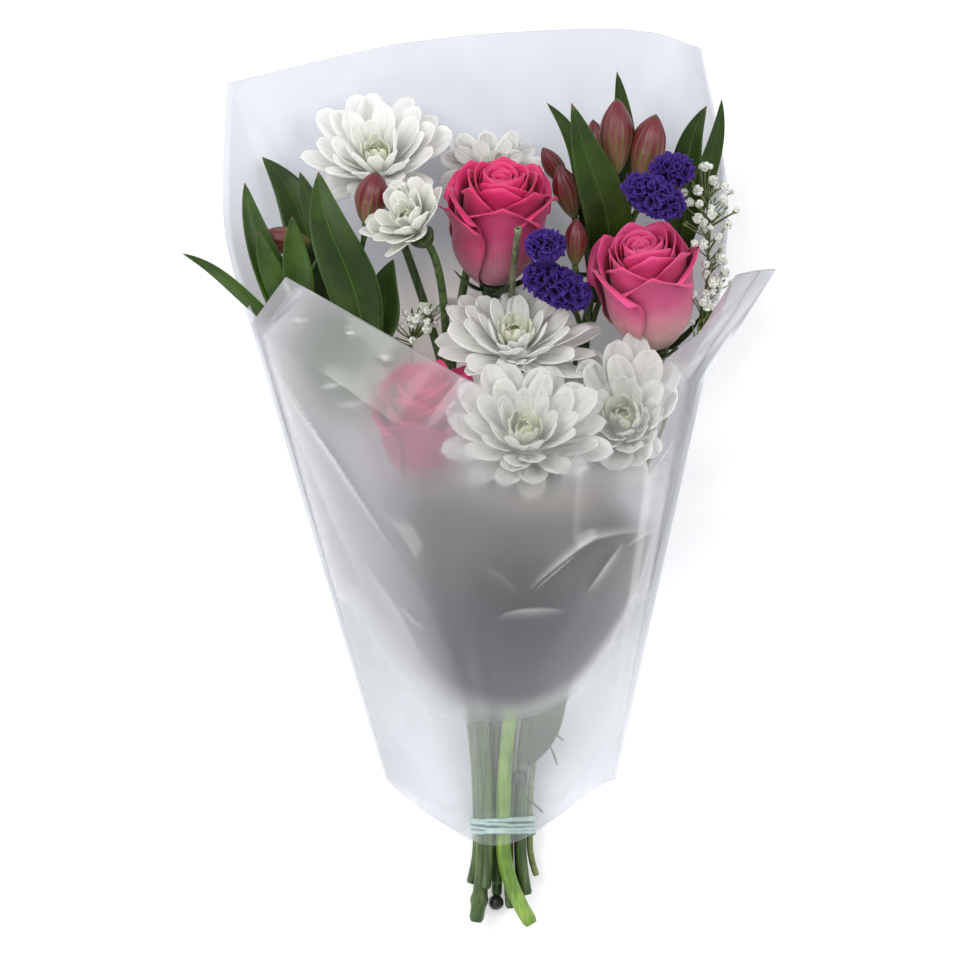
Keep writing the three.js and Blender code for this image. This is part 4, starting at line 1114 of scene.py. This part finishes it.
# Layers from the heart out: petals, height, radius at foot, belly and lip, reach either side in
# degrees, first turn, tuck under the neighbour, how far the lip rolls out and the shoulders drop.
ROSE_LAYERS = [
    (3, 0.93, 0.08, 0.12, 0.07, 140, 10, 1.0, 0.00, 0.02),
    (3, 0.965, 0.11, 0.19, 0.14, 125, 70, 1.2, 0.00, 0.02),
    (3, 0.99, 0.13, 0.27, 0.21, 112, 20, 1.3, 0.01, 0.03),
    (3, 1.01, 0.15, 0.36, 0.30, 102, 80, 1.4, 0.01, 0.04),
    (3, 1.03, 0.17, 0.45, 0.40, 94, 35, 1.5, 0.02, 0.06),
    (3, 1.045, 0.20, 0.55, 0.52, 86, 95, 1.6, 0.04, 0.09),
    (4, 1.04, 0.23, 0.67, 0.66, 70, 40, 1.7, 0.07, 0.13),
    (4, 1.01, 0.25, 0.80, 0.83, 66, 85, 1.8, 0.11, 0.18),
    (5, 0.95, 0.28, 0.93, 1.02, 56, 0, 1.8, 0.15, 0.20),
]
ROSE_CUP = [(0, -12), (2.5, -11.5), (4.6, -8), (6.0, -4), (6.8, -0.4), (0, -0.35)]
ROSE_SEPAL = np.array([(4.5, -3.5), (13, -5), (24.5, 12)])
ROSE_PATTERN, ROSE_ACROSS, ROSE_ALONG = cloth_grid(18, 22)


def rose_petal(layer, turn, draw):
    _, high, foot, belly, lip, reach, _, tuck, roll, shoulder = layer
    u, v = ROSE_ACROSS, ROSE_ALONG
    lip = lip * (1 + 0.05 * stray(draw))
    high = high * (1 + 0.03 * stray(draw))
    swell = np.sin(np.minimum(v / 0.5, 1) * math.pi / 2) ** 0.7
    rolled = roll * smooth(v, 0.82, 1.0) ** 1.4
    wall = lerp(lerp(foot, belly, swell), lip, smooth(v, 0.55, 1)) + rolled * (1 - 0.2 * np.abs(u))
    outline = np.sqrt(1 - 0.45 * np.clip((v - 0.66) / 0.34, 0, 1) ** 2.2)
    spread = math.radians(reach) * (0.45 + 0.55 * np.sin(np.minimum(v * 1.5, 1) * 1.57)) * outline
    phase = draw.random() * 6
    frill = 0.1 * roll * (np.sin(4 * u + phase) + 0.4 * np.sin(9 * u + 2 * phase)) * smooth(v, 0.7, 1)
    lean = 1 + 0.35 * stray(draw) * np.sign(u)
    drop = shoulder * lean * np.abs(u) ** 1.7 * v**2
    point = 0.25 * roll * dent(u, 0.16) * smooth(v, 0.85, 1)
    height = ROSE_LENGTH * (high * (v - drop) + frill + point - 0.5 * rolled) + 1.2
    radius = ROSE_RADIUS * wall + tuck * u * np.minimum(1, 2 * v) + 30 * frill
    return polar(radius, turn + u * spread, height)


def rose(name, origin, axis, spin, slot, foot, seed, blush, leaves=(), knobs=(), guards=()):
    """A rose bloom, and its stem with cup, sepals and leaves."""
    draw = random.Random(seed)
    place = facing(origin, axis, spin)
    shapes = []
    tones = []
    for level, layer in enumerate(ROSE_LAYERS):
        for k in range(layer[0]):
            turn = math.radians(layer[6] + 8 * stray(draw)) + TURN * k / layer[0]
            shapes.append(placed(rose_petal(layer, turn, draw), place))
            tones.append(min(1, max(0, (level - 4) / 4 + 0.1 * stray(draw))))
    for guard in guards:
        shapes.append(placed(rose_petal(guard, math.radians(guard[6]), draw), place))
        tones.append(0.75)
    petals = joined(f"rose_{name}_petals", copies(ROSE_PATTERN, shapes, tones, ROSE))
    mark(petals, "blush", blush)
    settled(thickened(petals, ROSE_PETAL), "rose_petal", f"rose_{name}_bloom")

    sepals = []
    for k in range(5):
        ring = polar(ROSE_SEPAL[:, 0], TURN * (k + 0.25) / 5, ROSE_SEPAL[:, 1])
        low, middle, tip = placed(ring, place)
        sepals.append((low, tip, 3.2, axis, (middle - lerp(low, tip, 0.5)) * 0.9, 0.15))
    line = stem_line(slot, foot, origin - unit(axis) * 10, axis)
    stem = cut_stems("stem", [(line, stem_radii(line, slot, 2.3, (-60, 10)))])
    blades = leaf_blades(sepals + leaves_on(line, leaves, 0.25))
    parts = [stem, turned(ROSE_CUP, CUP, place), blades, *map(dark_ball, knobs)]
    settled(joined(f"rose_{name}_stalk", parts), "stem", f"rose_{name}_stem")


# ---------- chrysanthemums ----------

# Trims shorten the petals that point one way: the way in degrees, by how much, and how sharply.
# petals="pale" gives a bloom the white petals painted lighter, lifting its shade.
MUMS = {
    "mum_front_top": dict(
        eye=vec(18, 65.5, 56), axis=tilted(46), radius=44, seed=3, spin=-0.23, petals="pale",
        trims=[(270, 0.34, 3), (108, 0.3, 30)],
    ),
    "mum_front_left": dict(
        eye=vec(23, 19, 97), axis=tilted(36, -2), radius=45, seed=7, spin=0.2, trims=[(270, 0.12, 3)]
    ),
    "mum_front_right": dict(
        eye=vec(73.5, 27, 73.5), axis=tilted(26, -8), radius=48, seed=11, spin=0.5,
        trims=[(270, 0.18, 3), (0, 0.5, 2.4), (180, 0.2, 3), (320, 0.24, 4)],
    ),
    "mum_back_small": dict(
        eye=vec(-32, 125, 84), axis=vec(-0.5, 0.6, 0.63), radius=27, seed=17, close=17,
        fullness=0.7, breadth=1.25, petals="cream",
    ),
    "mum_back_left": dict(
        eye=vec(-50, 157, 27), axis=tilted(38, -6), radius=42, seed=19, close=12, fullness=0.85,
        breadth=1.05, spin=0.15, petals="pale",
    ),
    "mum_back_right": dict(
        eye=vec(6, 154, 18), axis=tilted(2), radius=29, seed=23, close=-9, fullness=0.9,
        trims=[(90, 0.18, 3)], petals="pale",
    ),
}
# Rings from the outside in: petals, length, steepness in degrees, half width, curl towards the eye.
MUM_RINGS = [
    (12, 1.0, 4, 0.17, 8),
    (11, 0.93, 13, 0.17, 10),
    (10, 0.81, 24, 0.145, 14),
    (10, 0.62, 37, 0.1, 20),
    (13, 0.44, 48, 0.058, 26),
    (14, 0.34, 56, 0.046, 32),
    (13, 0.25, 63, 0.037, 38),
    (10, 0.17, 73, 0.03, 40),
]
MUM_SEEDS = 40
MUM_PAD = [(0, -0.24), (0.14, -0.2), (0.2, -0.1), (0.19, 0.0), (0.13, 0.08), (0, 0.11)]
MUM_CUP = [(0, -7), (2.2, -6.8), (4.6, -4.5), (6.2, -1.5), (6.2, 0), (0, 0)]
MUM_SPRAYS = {
    "front": dict(
        slot="top", foot=vec(26.5, -224, 18), fork=vec(28, -45, 50), finish=BRIGHT_STEM,
        blooms=["mum_front_top", "mum_front_left", "mum_front_right"],
        leaves=[(-84, (58, -34, 70), 11, (0.2, -0.3, 1), (0, 0, 8))],
        stub=[(14, 10, 42), (6, 55, 33), (14.9, 83, 37.5), (17, 103, 67), (19.5, 124.5, 88)],
    ),
    "back": dict(
        slot="low_mid_left", foot=vec(9, -210, 4), fork=vec(-14, 30, 14), finish=STEM,
        blooms=["mum_back_small", "mum_back_left", "mum_back_right"],
        knobs=[vec(8.6, -213.6, 4.3)],
    ),
}
MUM_PATTERN, MUM_ACROSS, MUM_ALONG = cloth_grid(6, 14)


def mum_petal(long, steep, wide, curl, turn, cup, sunk, sway, twist):
    """A strap-shaped petal, channelled along its length and blunt at the tip."""
    u, v = MUM_ACROSS, MUM_ALONG
    reach = long * (0.1 + 0.9 * v)
    lift = math.radians(steep) + math.radians(curl) * (v**1.6 - 0.3)
    past = np.clip((v - 0.6) / 0.4, 0, 1)
    width = wide * (0.34 + 0.66 * smooth(v, 0.0, 0.62)) * (1 - 0.995 * past**2.6) ** 0.55
    groove = cup * width * u**2 + 0.06 * wide * np.cos(u * 3 * math.pi) * np.sin(math.pi * v)
    out = reach * np.cos(lift) - groove * np.sin(lift)
    high = reach * np.sin(lift) + groove * np.cos(lift) - sunk * (1 - v) ** 3 + twist * u * width * v
    sideways = u * width + sway * long * v**2
    return np.column_stack([out, sideways, high]) @ turned_about_z(turn).T


def mum_petals(place, radius, draw, spin, close, fullness, breadth, trims):
    """The shapes and tones of a bloom's petals, ring by ring from the outside in."""
    shapes = []
    tones = []
    for level, (count, long, steep, wide, curl) in enumerate(MUM_RINGS):
        is_open = level < OPEN_RINGS
        count = round(count * fullness) if is_open else count
        half = wide * radius * (breadth if is_open else 1)
        sunk = 0.16 * radius if is_open else 0.0
        for k in range(count):
            turn = TURN * (k + 0.37 * level + 0.6 * stray(draw)) / count
            length = long * radius * (0.9 + 0.14 * draw.random())
            trimmed = 1.0
            for way, by, sharp in trims if is_open else ():
                trimmed -= by * max(0, math.cos(turn + spin - math.radians(way))) ** sharp
            tilt = steep + close * (1 - level / 9) + 13 * stray(draw)
            bend = curl * (0.8 + 0.5 * draw.random())
            sway = 0.16 * stray(draw)
            twist = 0.9 * stray(draw)
            cup = 0.3 + 0.03 * level
            petal = mum_petal(length * trimmed, tilt, half, bend, turn, cup, sunk, sway, twist)
            shapes.append(placed(petal, place))
            tones.append(1 - min(1, max(0, level - 3) / 3))
    return shapes, tones


def mum(
    name, eye, axis, radius, seed, spin=0.0, petals="white", close=0, fullness=1, breadth=1, trims=()
):
    """A chrysanthemum bloom: its rings of petals, its green eye and the pad that they stand on."""
    draw = random.Random(seed)
    place = facing(eye, axis, spin)
    shapes, tones = mum_petals(place, radius, draw, spin, close, fullness, breadth, trims)
    whites = WHITES[petals]
    bloom = thickened(joined("petals", copies(MUM_PATTERN, shapes, tones, whites)), MUM_PETAL)
    seeds = []
    for k in range(MUM_SEEDS):
        out = 0.1 * radius * math.sqrt((k + 0.5) / MUM_SEEDS)
        base = polar(out, GOLDEN_ANGLE * k, 0.08 * radius)[0]
        tip = base * vec(1.1, 1.1, 1) + vec(0, 0, (0.08 + 0.05 * draw.random()) * radius)
        line = placed(np.array([base, lerp(base, tip, 0.7), tip]), place)
        seeds.append((line, (0.5, 0.62, 0.35)))
    pad = turned(np.array(MUM_PAD) * radius, whites, place, tone=1)
    parts = [bloom, rods("seeds", seeds, EYE, 6), pad]
    settled(joined(f"{name}_petals", parts), "white_petal", name)


def mum_under(bloom, depth):
    """The place on a bloom's axis at this depth under its pad."""
    return bloom["eye"] - unit(bloom["axis"]) * (MUM_UNDERSIDE * bloom["radius"] + depth)


def hollow_stub(points):
    """A branch that was cut off short, hollow at its end."""
    line = refined(spline(points, np.linspace(0, 1, 60)), 40)
    inward = unit(line[-2] - line[-1])
    bore = [line[-1] + depth * inward for depth in (0, 3, 6)]
    radii = np.concatenate([np.full(len(line) - 1, 1.75), [1.95, 1.2, 1.1, 1.1]])
    return rods("stub", [(np.vstack([line, bore]), radii)], STUB, 14)


def mum_spray(name, slot, foot, fork, finish, blooms, leaves=(), stub=(), knobs=()):
    """A branching stem with the shallow cups of its blooms."""
    away = fork - slot_point(slot, TIE_Y) + vec(0, 60, 0)
    line = stem_line(slot, foot, fork, away)
    lines = [(line, stem_radii(line, slot, 2.6, (-110, -60, -10)))]
    cups = []
    for bloom in (MUMS[key] for key in blooms):
        lines.append(shoot(fork, mum_under(bloom, 5), away, bloom["axis"], 2.3, 1.9))
        cups.append(turned(MUM_CUP, CUP, facing(mum_under(bloom, 0.3), bloom["axis"])))
    parts = [cut_stems("stem", lines, finish), *cups, *map(dark_ball, knobs)]
    if leaves:
        parts.append(leaf_blades(leaves_on(line, leaves, 0.35)))
    if stub:
        parts.append(hollow_stub([fork, *stub]))
    settled(joined(f"{name}_mum_branches", parts), "stem", f"mum_spray_{name}_stem")


# ---------- alstroemeria ----------

# Closed buds: foot, tip, radius, and how dusky they are.
BUDS = {
    "left_pink": (vec(-84, 118, 41), vec(-111, 121, 45), 7.0, 0.9),
    "left_red": (vec(-56, 127, 62), vec(-51, 153, 70), 8.6, 0.0),
    "mid_a": (vec(48, 131, 41), vec(40, 157, 48), 6.5, 0.2),
    "mid_b": (vec(44, 147, 30), vec(32, 166, 36), 5.0, 0.5),
    "mid_c": (vec(48, 107, 55), vec(48.5, 130, 61), 5.5, 0.1),
    "right_a": (vec(68, 152, 50), vec(69, 190, 56), 8.5, 0.6),
    "right_b": (vec(80, 149, 44), vec(88.5, 182, 54), 9.0, 0.7),
    "right_c": (vec(64, 148, 34), vec(57, 180, 38), 6.5, 0.5),
}
BUD_PROFILE = [(0.2, 0), (0.6, 0.16), (0.9, 0.38), (1.0, 0.53), (0.82, 0.74), (0.36, 0.92), (0.02, 1.0)]
BUD_CORE = [(0, 0), (0.55, 0.16), (0.86, 0.5), (0.4, 0.88), (0, 0.95)]
BUD_PATTERN, BUD_ACROSS, BUD_ALONG = cloth_grid(14, 20)
ALSTROEMERIAS = {
    "outer_left": dict(
        slot="left", foot=vec(-1.5, -223, 9), top=vec(-95, 76, 46), arrive=vec(-0.3, 0.95, 0.15),
        buds=["left_pink"], knots=(-212, -134, -60, 10), tone=0.55,
        leaves=[
            (-66, (-76, -4, 50), 9, (-0.3, 0, 1), (-4, 0, 8)),
            (-8, (-92, 44, 64), 8, (-0.2, 0, 1), (0, 0, 6)),
            (48, (-117, 148, 56), 8.5, (0.3, 0, 1), (-6, 0, 8)),
            (58, (-110, 124, 66), 7, (0.2, 0, 1), (2, 0, 4)),
            (66, (-148, 112.5, 62), 3.4, (0, 0, 1), (0, 8, 6)),
            (70, (-93, 131, 70), 7.5, (0.1, 0, 1), (5, 0, 4)),
        ],
    ),
    "inner_left": dict(
        slot="far_left", foot=vec(-4, -204, 5), top=vec(-62, 76, 44), arrive=vec(-0.15, 0.95, 0.2),
        buds=["left_red"], knots=(-120, -40), tone=0.3,
        leaves=[
            (52, (-80, 153, 72), 13, (0, 0, 1), (5, 0, 6)),
            (64, (-109, 162, 19), 12, (0.2, 0, 1), (0, 8, -6)),
            (68, (-90, 154, 38), 8.5, (-0.4, 0, 1), (4, 6, 0)),
            (60, (-43, 110, 44), 9, (-0.2, 0, 1), (6, 0, 0)),
        ],
    ),
    "mid_right": dict(
        slot="low_mid_right", foot=vec(16, -216.5, 5), top=vec(57, 98, 28), arrive=vec(0.1, 0.95, 0.3),
        buds=["mid_a", "mid_b", "mid_c", "right_a", "right_b", "right_c"], knots=(-150, -70), tone=0.3,
        leaves=[
            (88, (46, 187, 74), 12, (0.2, 0, 1), (26, -11, -4)),
            (92, (34, 188, 50), 6, (0, 0, 1), (18, 10, -1)),
            (95, (69, 204, 42), 6.5, (0, 0, 1), (20, 8, -8)),
        ],
    ),
    "outer_right": dict(
        slot="painted_light_low_right", foot=vec(21.5, -206, 4.5), top=vec(102, 115, 16), arrive=vec(0.1, 0.98, 0.1),
        buds=[], knots=(-140, -50), tone=0.15,
        leaves=[
            (104, (114, 187, 40), 9, (-0.2, 0, 1), (-6, 0, 2)),
            (110, (121.5, 190, 46), 5.5, (0.3, 0, 1), (2, 0, 2)),
        ],
    ),
}


def bud(name, foot, tip, radius, tone):
    """A closed bud: three outer sepals wrapped round each other, ribbed down the middle."""
    u, v = BUD_ACROSS, BUD_ALONG
    place = facing(foot, tip - foot)
    long = np.linalg.norm(tip - foot)
    outline = spline(BUD_PROFILE, v)
    wrap = 0.045 * u + 0.05 * dent(u, 0.16) - 0.05 * np.abs(u) ** 3
    wall = np.maximum(radius * (outline[:, 0] * 0.97 + wrap * np.sin(math.pi * v) * 1.5), 0.05)
    shapes = []
    for k in range(3):
        angle = TURN * k / 3 + u * math.radians(74)
        shapes.append(placed(polar(wall, angle, outline[:, 1] * long), place))
    sepals = thickened(joined("sepals", copies(BUD_PATTERN, shapes, [tone] * 3, BUD)), LEAF_THICKNESS)
    core = turned(np.array(BUD_CORE) * (radius, long), BUD, place, tone)
    settled(joined(f"bud_{name}_sepals", [sepals, core]), "bud", f"alstroemeria_bud_{name}")


def alstroemeria(name, slot, foot, top, arrive, buds, knots, tone, leaves):
    """A leafy stem that forks into the stalks of its buds."""
    line = stem_line(slot, foot, top, arrive)
    lines = [(line, stem_radii(line, slot, 2.2, knots))]
    for key in buds:
        seat, tip, radius, _ = BUDS[key]
        axis = unit(tip - seat)
        stalk, radii = shoot(top, seat - 0.3 * axis, arrive, axis, 1.3, 1.3)
        radii[-2:] = (1.7, 0.28 * radius)
        lines.append((stalk, radii))
    parts = [cut_stems("stem", lines), leaf_blades(leaves_on(line, leaves, tone))]
    settled(joined(f"{name}_leafy_stem", parts), "leaf", f"alstroemeria_{name}")


# ---------- statice ----------

# Heads: centre, half size, turn in degrees, cups, seed, and how the branch leaves and arrives.
STATICE_HEADS = {
    "upper_right": (vec(96, 154, 75), vec(10.5, 7.5, 8), 0, 30, 31, (0.25, 1, -0.3), (0, -0.7, 1)),
    "right": (vec(87, 140.5, 84), vec(16, 9.5, 8.5), -28, 50, 37, (0.25, 1, -0.3), (0, -0.7, 1)),
    "mid": (vec(33, 116, 86), vec(9.6, 7.5, 8), 0, 30, 41, (-0.3, 1, 0.3), (0, 0, 1)),
    "low": (vec(39, 96, 72), vec(18, 9.5, 9), -25, 54, 43, (0.15, 0.75, 0.65), (-0.8, 0.1, 0.5)),
}
STATICE_SLOT = "mid_right"
STATICE_FORK = vec(54, 68, 26)
# Broken side twigs low on the stem: foot, tip and radius at the foot.
STATICE_TWIGS = [
    (vec(21, -118, 14), vec(42.5, -131.5, 17), 0.9),
    (vec(31, -124, 15), vec(39.5, -144, 14), 0.6),
    (vec(22, -160, 12), vec(32, -168, 13), 0.6),
]
CUP_PATTERN, CUP_ACROSS, CUP_ALONG = cloth_grid(30, 5)


def statice_cup(lip, long, phase):
    """A papery funnel with a pleated, torn rim."""
    u, v = CUP_ACROSS, CUP_ALONG
    angle = u * math.pi
    pleat = 1 + v * (0.2 * np.cos(3 * angle + phase) + 0.1 * np.cos(7 * angle - phase))
    torn = 0.65 * np.sin(4 * angle + 2 * phase) + 0.4 * np.cos(7 * angle)
    return polar(lerp(0.5, lip, v**1.3) * pleat, angle, long * (v**0.8) + v * v * torn)


def statice_head(name, centre, size, turn, count, seed):
    """A head of papery cups round a core, with a few green bracts under it."""
    draw = random.Random(seed)
    head = turned_about_z(math.radians(turn)), centre
    shapes = []
    for k in range(count):
        out = around_dome(k, count, 1.5)
        seat = out * (size - STATICE_CORE - 2.2)
        long = np.linalg.norm(out * size - seat)
        tip = unit(out + 0.25 * strays(draw))
        lip = 2.9 + 1.2 * draw.random()
        cup = statice_cup(lip, long * (0.86 + 0.24 * draw.random()), draw.random() * 6)
        shapes.append(placed(placed(cup, facing(seat, tip, draw.random() * 6)), head))
    cups = thickened(joined("cups", copies(CUP_PATTERN, shapes, [0.5] * count, STATICE)), 0.18)
    core, across, along = cloth_grid(20, 10)
    ball = polar(np.sin(along * math.pi), across * math.pi, np.cos(along * math.pi))
    shape(core, placed(ball * (size - STATICE_CORE - 0.8), head))
    painted(seam_closed(core, 0.03), STATICE)
    bracts = []
    for k in range(5):
        angle = TURN * (k + draw.random()) / 5
        foot = polar(2, angle, 2 - size[2])[0]
        tip = vec(0.75 * math.cos(angle), 0.85 * math.sin(angle), -0.1) * size
        bracts.append((*placed(np.array([foot, tip]), head), 1.8, (0, 0, 1), (0, 0, -2), 0.6))
    parts = [cups, core, leaf_blades(bracts)]
    settled(joined(f"statice_{name}_cups", parts), "statice", f"statice_head_{name}")


def statice_stem():
    away = STATICE_FORK - slot_point(STATICE_SLOT, TIE_Y) + vec(0, 120, 0)
    line = stem_line(STATICE_SLOT, vec(15.5, -211, 10.5), STATICE_FORK, away)
    lines = [(line, stem_radii(line, STATICE_SLOT, 1.8))]
    for centre, size, *_, leave, arrive in STATICE_HEADS.values():
        seat = centre + vec(0, 0, STATICE_CORE - size[2] - 0.3)
        lines.append(shoot(STATICE_FORK, seat, leave, arrive, 1.5, 1.0, 16, 40))
    for foot, tip, radius in STATICE_TWIGS:
        middle = lerp(foot, tip, 0.5) + vec(0, 2, 1)
        lines.append((bezier([foot, middle, tip], 6), np.linspace(radius, 0.5, 7)))
    settled(cut_stems("statice_branches", lines, sides=10), "stem", "statice_stem")


# ---------- gypsophila ----------

GYPSOPHILA = {
    "right": dict(
        slot="far_right", foot=vec(29, -200, 6.5), arrive=vec(-0.1, 1, 0.34), seed=53, loose=70,
        forks=[(95, 44, 34), (110.5, 74, 47), (114, 98, 47), (115, 118, 50), (114, 138, 54)],
        florets=[
            (105, 60, 44), (112, 72, 56), (114, 86, 59), (113, 92, 60), (117, 98, 61), (113, 107, 62),
            (121, 110, 58), (112, 117, 64), (119, 121, 62), (124, 127, 58), (109, 130, 66), (116, 132, 68),
            (122, 140, 60), (109, 144, 64), (117, 149, 62), (123, 103, 50), (113, 156, 58), (105, 138, 60),
        ],
        leaves=[((110.5, 74, 47), (116, 94, 54), 2.6, (0, 0, 1), (0, 0, 1), 0.5)],
    ),
    "left": dict(
        slot="low_left", foot=vec(3, -200, 4.5), arrive=vec(-0.1, 1, 0.06), seed=59, loose=16,
        forks=[(-34, 50, 16), (-34, 70, 30)],
        florets=[(-40, 77, 40), (-31, 80, 42), (-27, 86, 38), (-26, 75, 46), (-14, 88, 34)],
    ),
}
FLORET_PETALS = 13
OPEN_FLORET = 1.35  # a floret wider than this has open petals
FLORET_PATTERN, FLORET_ACROSS, FLORET_ALONG = cloth_grid(3, 3)


def floret_petals(centre, radius, draw):
    """The crowded little petals of one floret."""
    u, v = FLORET_ACROSS, FLORET_ALONG
    shapes = []
    for k in range(FLORET_PETALS):
        width = radius * (0.42 + 0.2 * draw.random()) * (0.4 + 0.6 * np.sin(2.4 * v))
        lift = radius * (0.25 * u * u + 0.15 * np.sin(5 * v + k))
        along = radius * (0.15 + 0.85 * v) * (1 - 0.12 * u * u)
        place = facing(centre, around_dome(k, FLORET_PETALS, 1.35), draw.random() * 6)
        shapes.append(placed(np.column_stack([u * width, lift, along]), place))
    return shapes


def gypsophila(name, slot, foot, arrive, seed, loose, forks, florets, leaves=()):
    """A spray: its florets, the closed ones strewn round them, and a twig to each."""
    draw = random.Random(seed)
    forks = np.array(forks, float)
    line = np.vstack([stem_line(slot, foot, forks[0], arrive), forks[1:]])
    lines = [(line, stem_radii(line, slot, 0.6))]
    chords = refined(forks, 40)
    places = [vec(*floret) for floret in florets]
    for _ in range(loose):
        near = places[draw.randrange(len(florets))]
        places.append(near + vec(15 * stray(draw), 16 * (draw.random() - 0.45), 8 * stray(draw)))
    shapes = []
    cups = []
    for k, place in enumerate(places):
        root = chords[np.argmin(np.linalg.norm(chords - place - vec(0, -9, -4), axis=1))]
        bow = strays(draw) * 5
        lines.append((bezier([root, lerp(root, place, 0.5) + bow, place], 5), np.linspace(0.42, 0.26, 6)))
        wide = (2.2 + 0.7 * draw.random()) if k < len(florets) else (0.8 + 1.5 * draw.random())
        if wide > OPEN_FLORET:
            shapes += floret_petals(place, wide, draw)
        cup = np.array([lerp(place, root, 0.12), place, lerp(place, root, -0.03)])
        cups.append((cup, (0.5, 0.5 * min(wide, 1.6), 0.3)))
    petals = joined("florets", copies(FLORET_PATTERN, shapes, [0.5] * len(shapes), GYPS))
    parts = [thickened(petals, 0.16), rods("twigs", lines, TWIG, 6), rods("cups", cups, TWIG, 8)]
    if leaves:
        parts.append(leaf_blades(leaves))
    settled(joined(f"gypsophila_{name}_florets", parts), "gypsophila", f"gypsophila_{name}")


# ---------- the bouquet ----------

front = sleeve_front()
back = sleeve_back()
tie_band()
PLANTS = ((rose, ROSES), (mum, MUMS), (mum_spray, MUM_SPRAYS), (alstroemeria, ALSTROEMERIAS))
for grow, plants in PLANTS:
    for plant_name, plant in plants.items():
        grow(plant_name, **plant)
for bud_name, bud_data in BUDS.items():
    bud(bud_name, *bud_data)
statice_stem()
for head_name, head_data in STATICE_HEADS.items():
    statice_head(head_name, *head_data[:5])
for spray_name, spray in GYPSOPHILA.items():
    gypsophila(spray_name, **spray)
PATTERNS = [LEAF_PATTERN, ROSE_PATTERN, MUM_PATTERN, BUD_PATTERN, CUP_PATTERN, FLORET_PATTERN]
for pattern in PATTERNS + [tube for tube, _ in TUBES.values()]:
    bpy.data.objects.remove(pattern)

# ---------- floor, light and camera ----------

alone()
bpy.ops.mesh.primitive_plane_add(size=6, location=(0, 0, -0.0004))
floor = bpy.context.object
floor.name = floor.data.name = "floor"
BOARD = speckled_finish(
    "floor_board", rgb(219, 219, 220), rgb(223, 223, 223), 30.0, 0.8, 0.00002,
    Emission_Color=UNTINTED, Emission_Strength=0.33,
)
painted(floor, BOARD)


def softbox(name, location, size, watts):
    light = bpy.data.lights.new(name, "AREA")
    light.shape = "RECTANGLE"
    light.size, light.size_y = size
    light.energy = watts
    lamp = bpy.data.objects.new(name, light)
    bpy.context.collection.objects.link(lamp)
    lamp.location = location
    lamp.rotation_euler = (-lamp.location).to_track_quat("-Z", "Y").to_euler()


softbox("key_softbox", (-1.2, 1.1, 2.0), (1.4, 1.4), 31)
softbox("fill_softbox", (1.5, 0.6, 2.0), (1.2, 1.2), 19)
softbox("low_softbox", (-1.7, -1.0, 1.5), (0.7, 1.6), 13)
world = bpy.data.worlds.new("studio")
bpy.context.scene.world = world
world.use_nodes = True
world.node_tree.nodes["Background"].inputs[0].default_value = (0.97, 0.98, 1.0, 1)
world.node_tree.nodes["Background"].inputs[1].default_value = 0.7

VIEW_WIDTH = 0.48
VIEW_DISTANCE = 5.0
camera_data = bpy.data.cameras.new("camera")
camera_data.sensor_width = 36
camera_data.lens = camera_data.sensor_width * VIEW_DISTANCE / VIEW_WIDTH
camera_data.clip_start = 0.5
camera_data.clip_end = 20
camera = bpy.data.objects.new("camera", camera_data)
bpy.context.collection.objects.link(camera)
camera.location = (0.0005, -0.0005, VIEW_DISTANCE + 0.05)
bpy.context.scene.camera = camera
bpy.context.scene.view_settings.view_transform = "Standard"
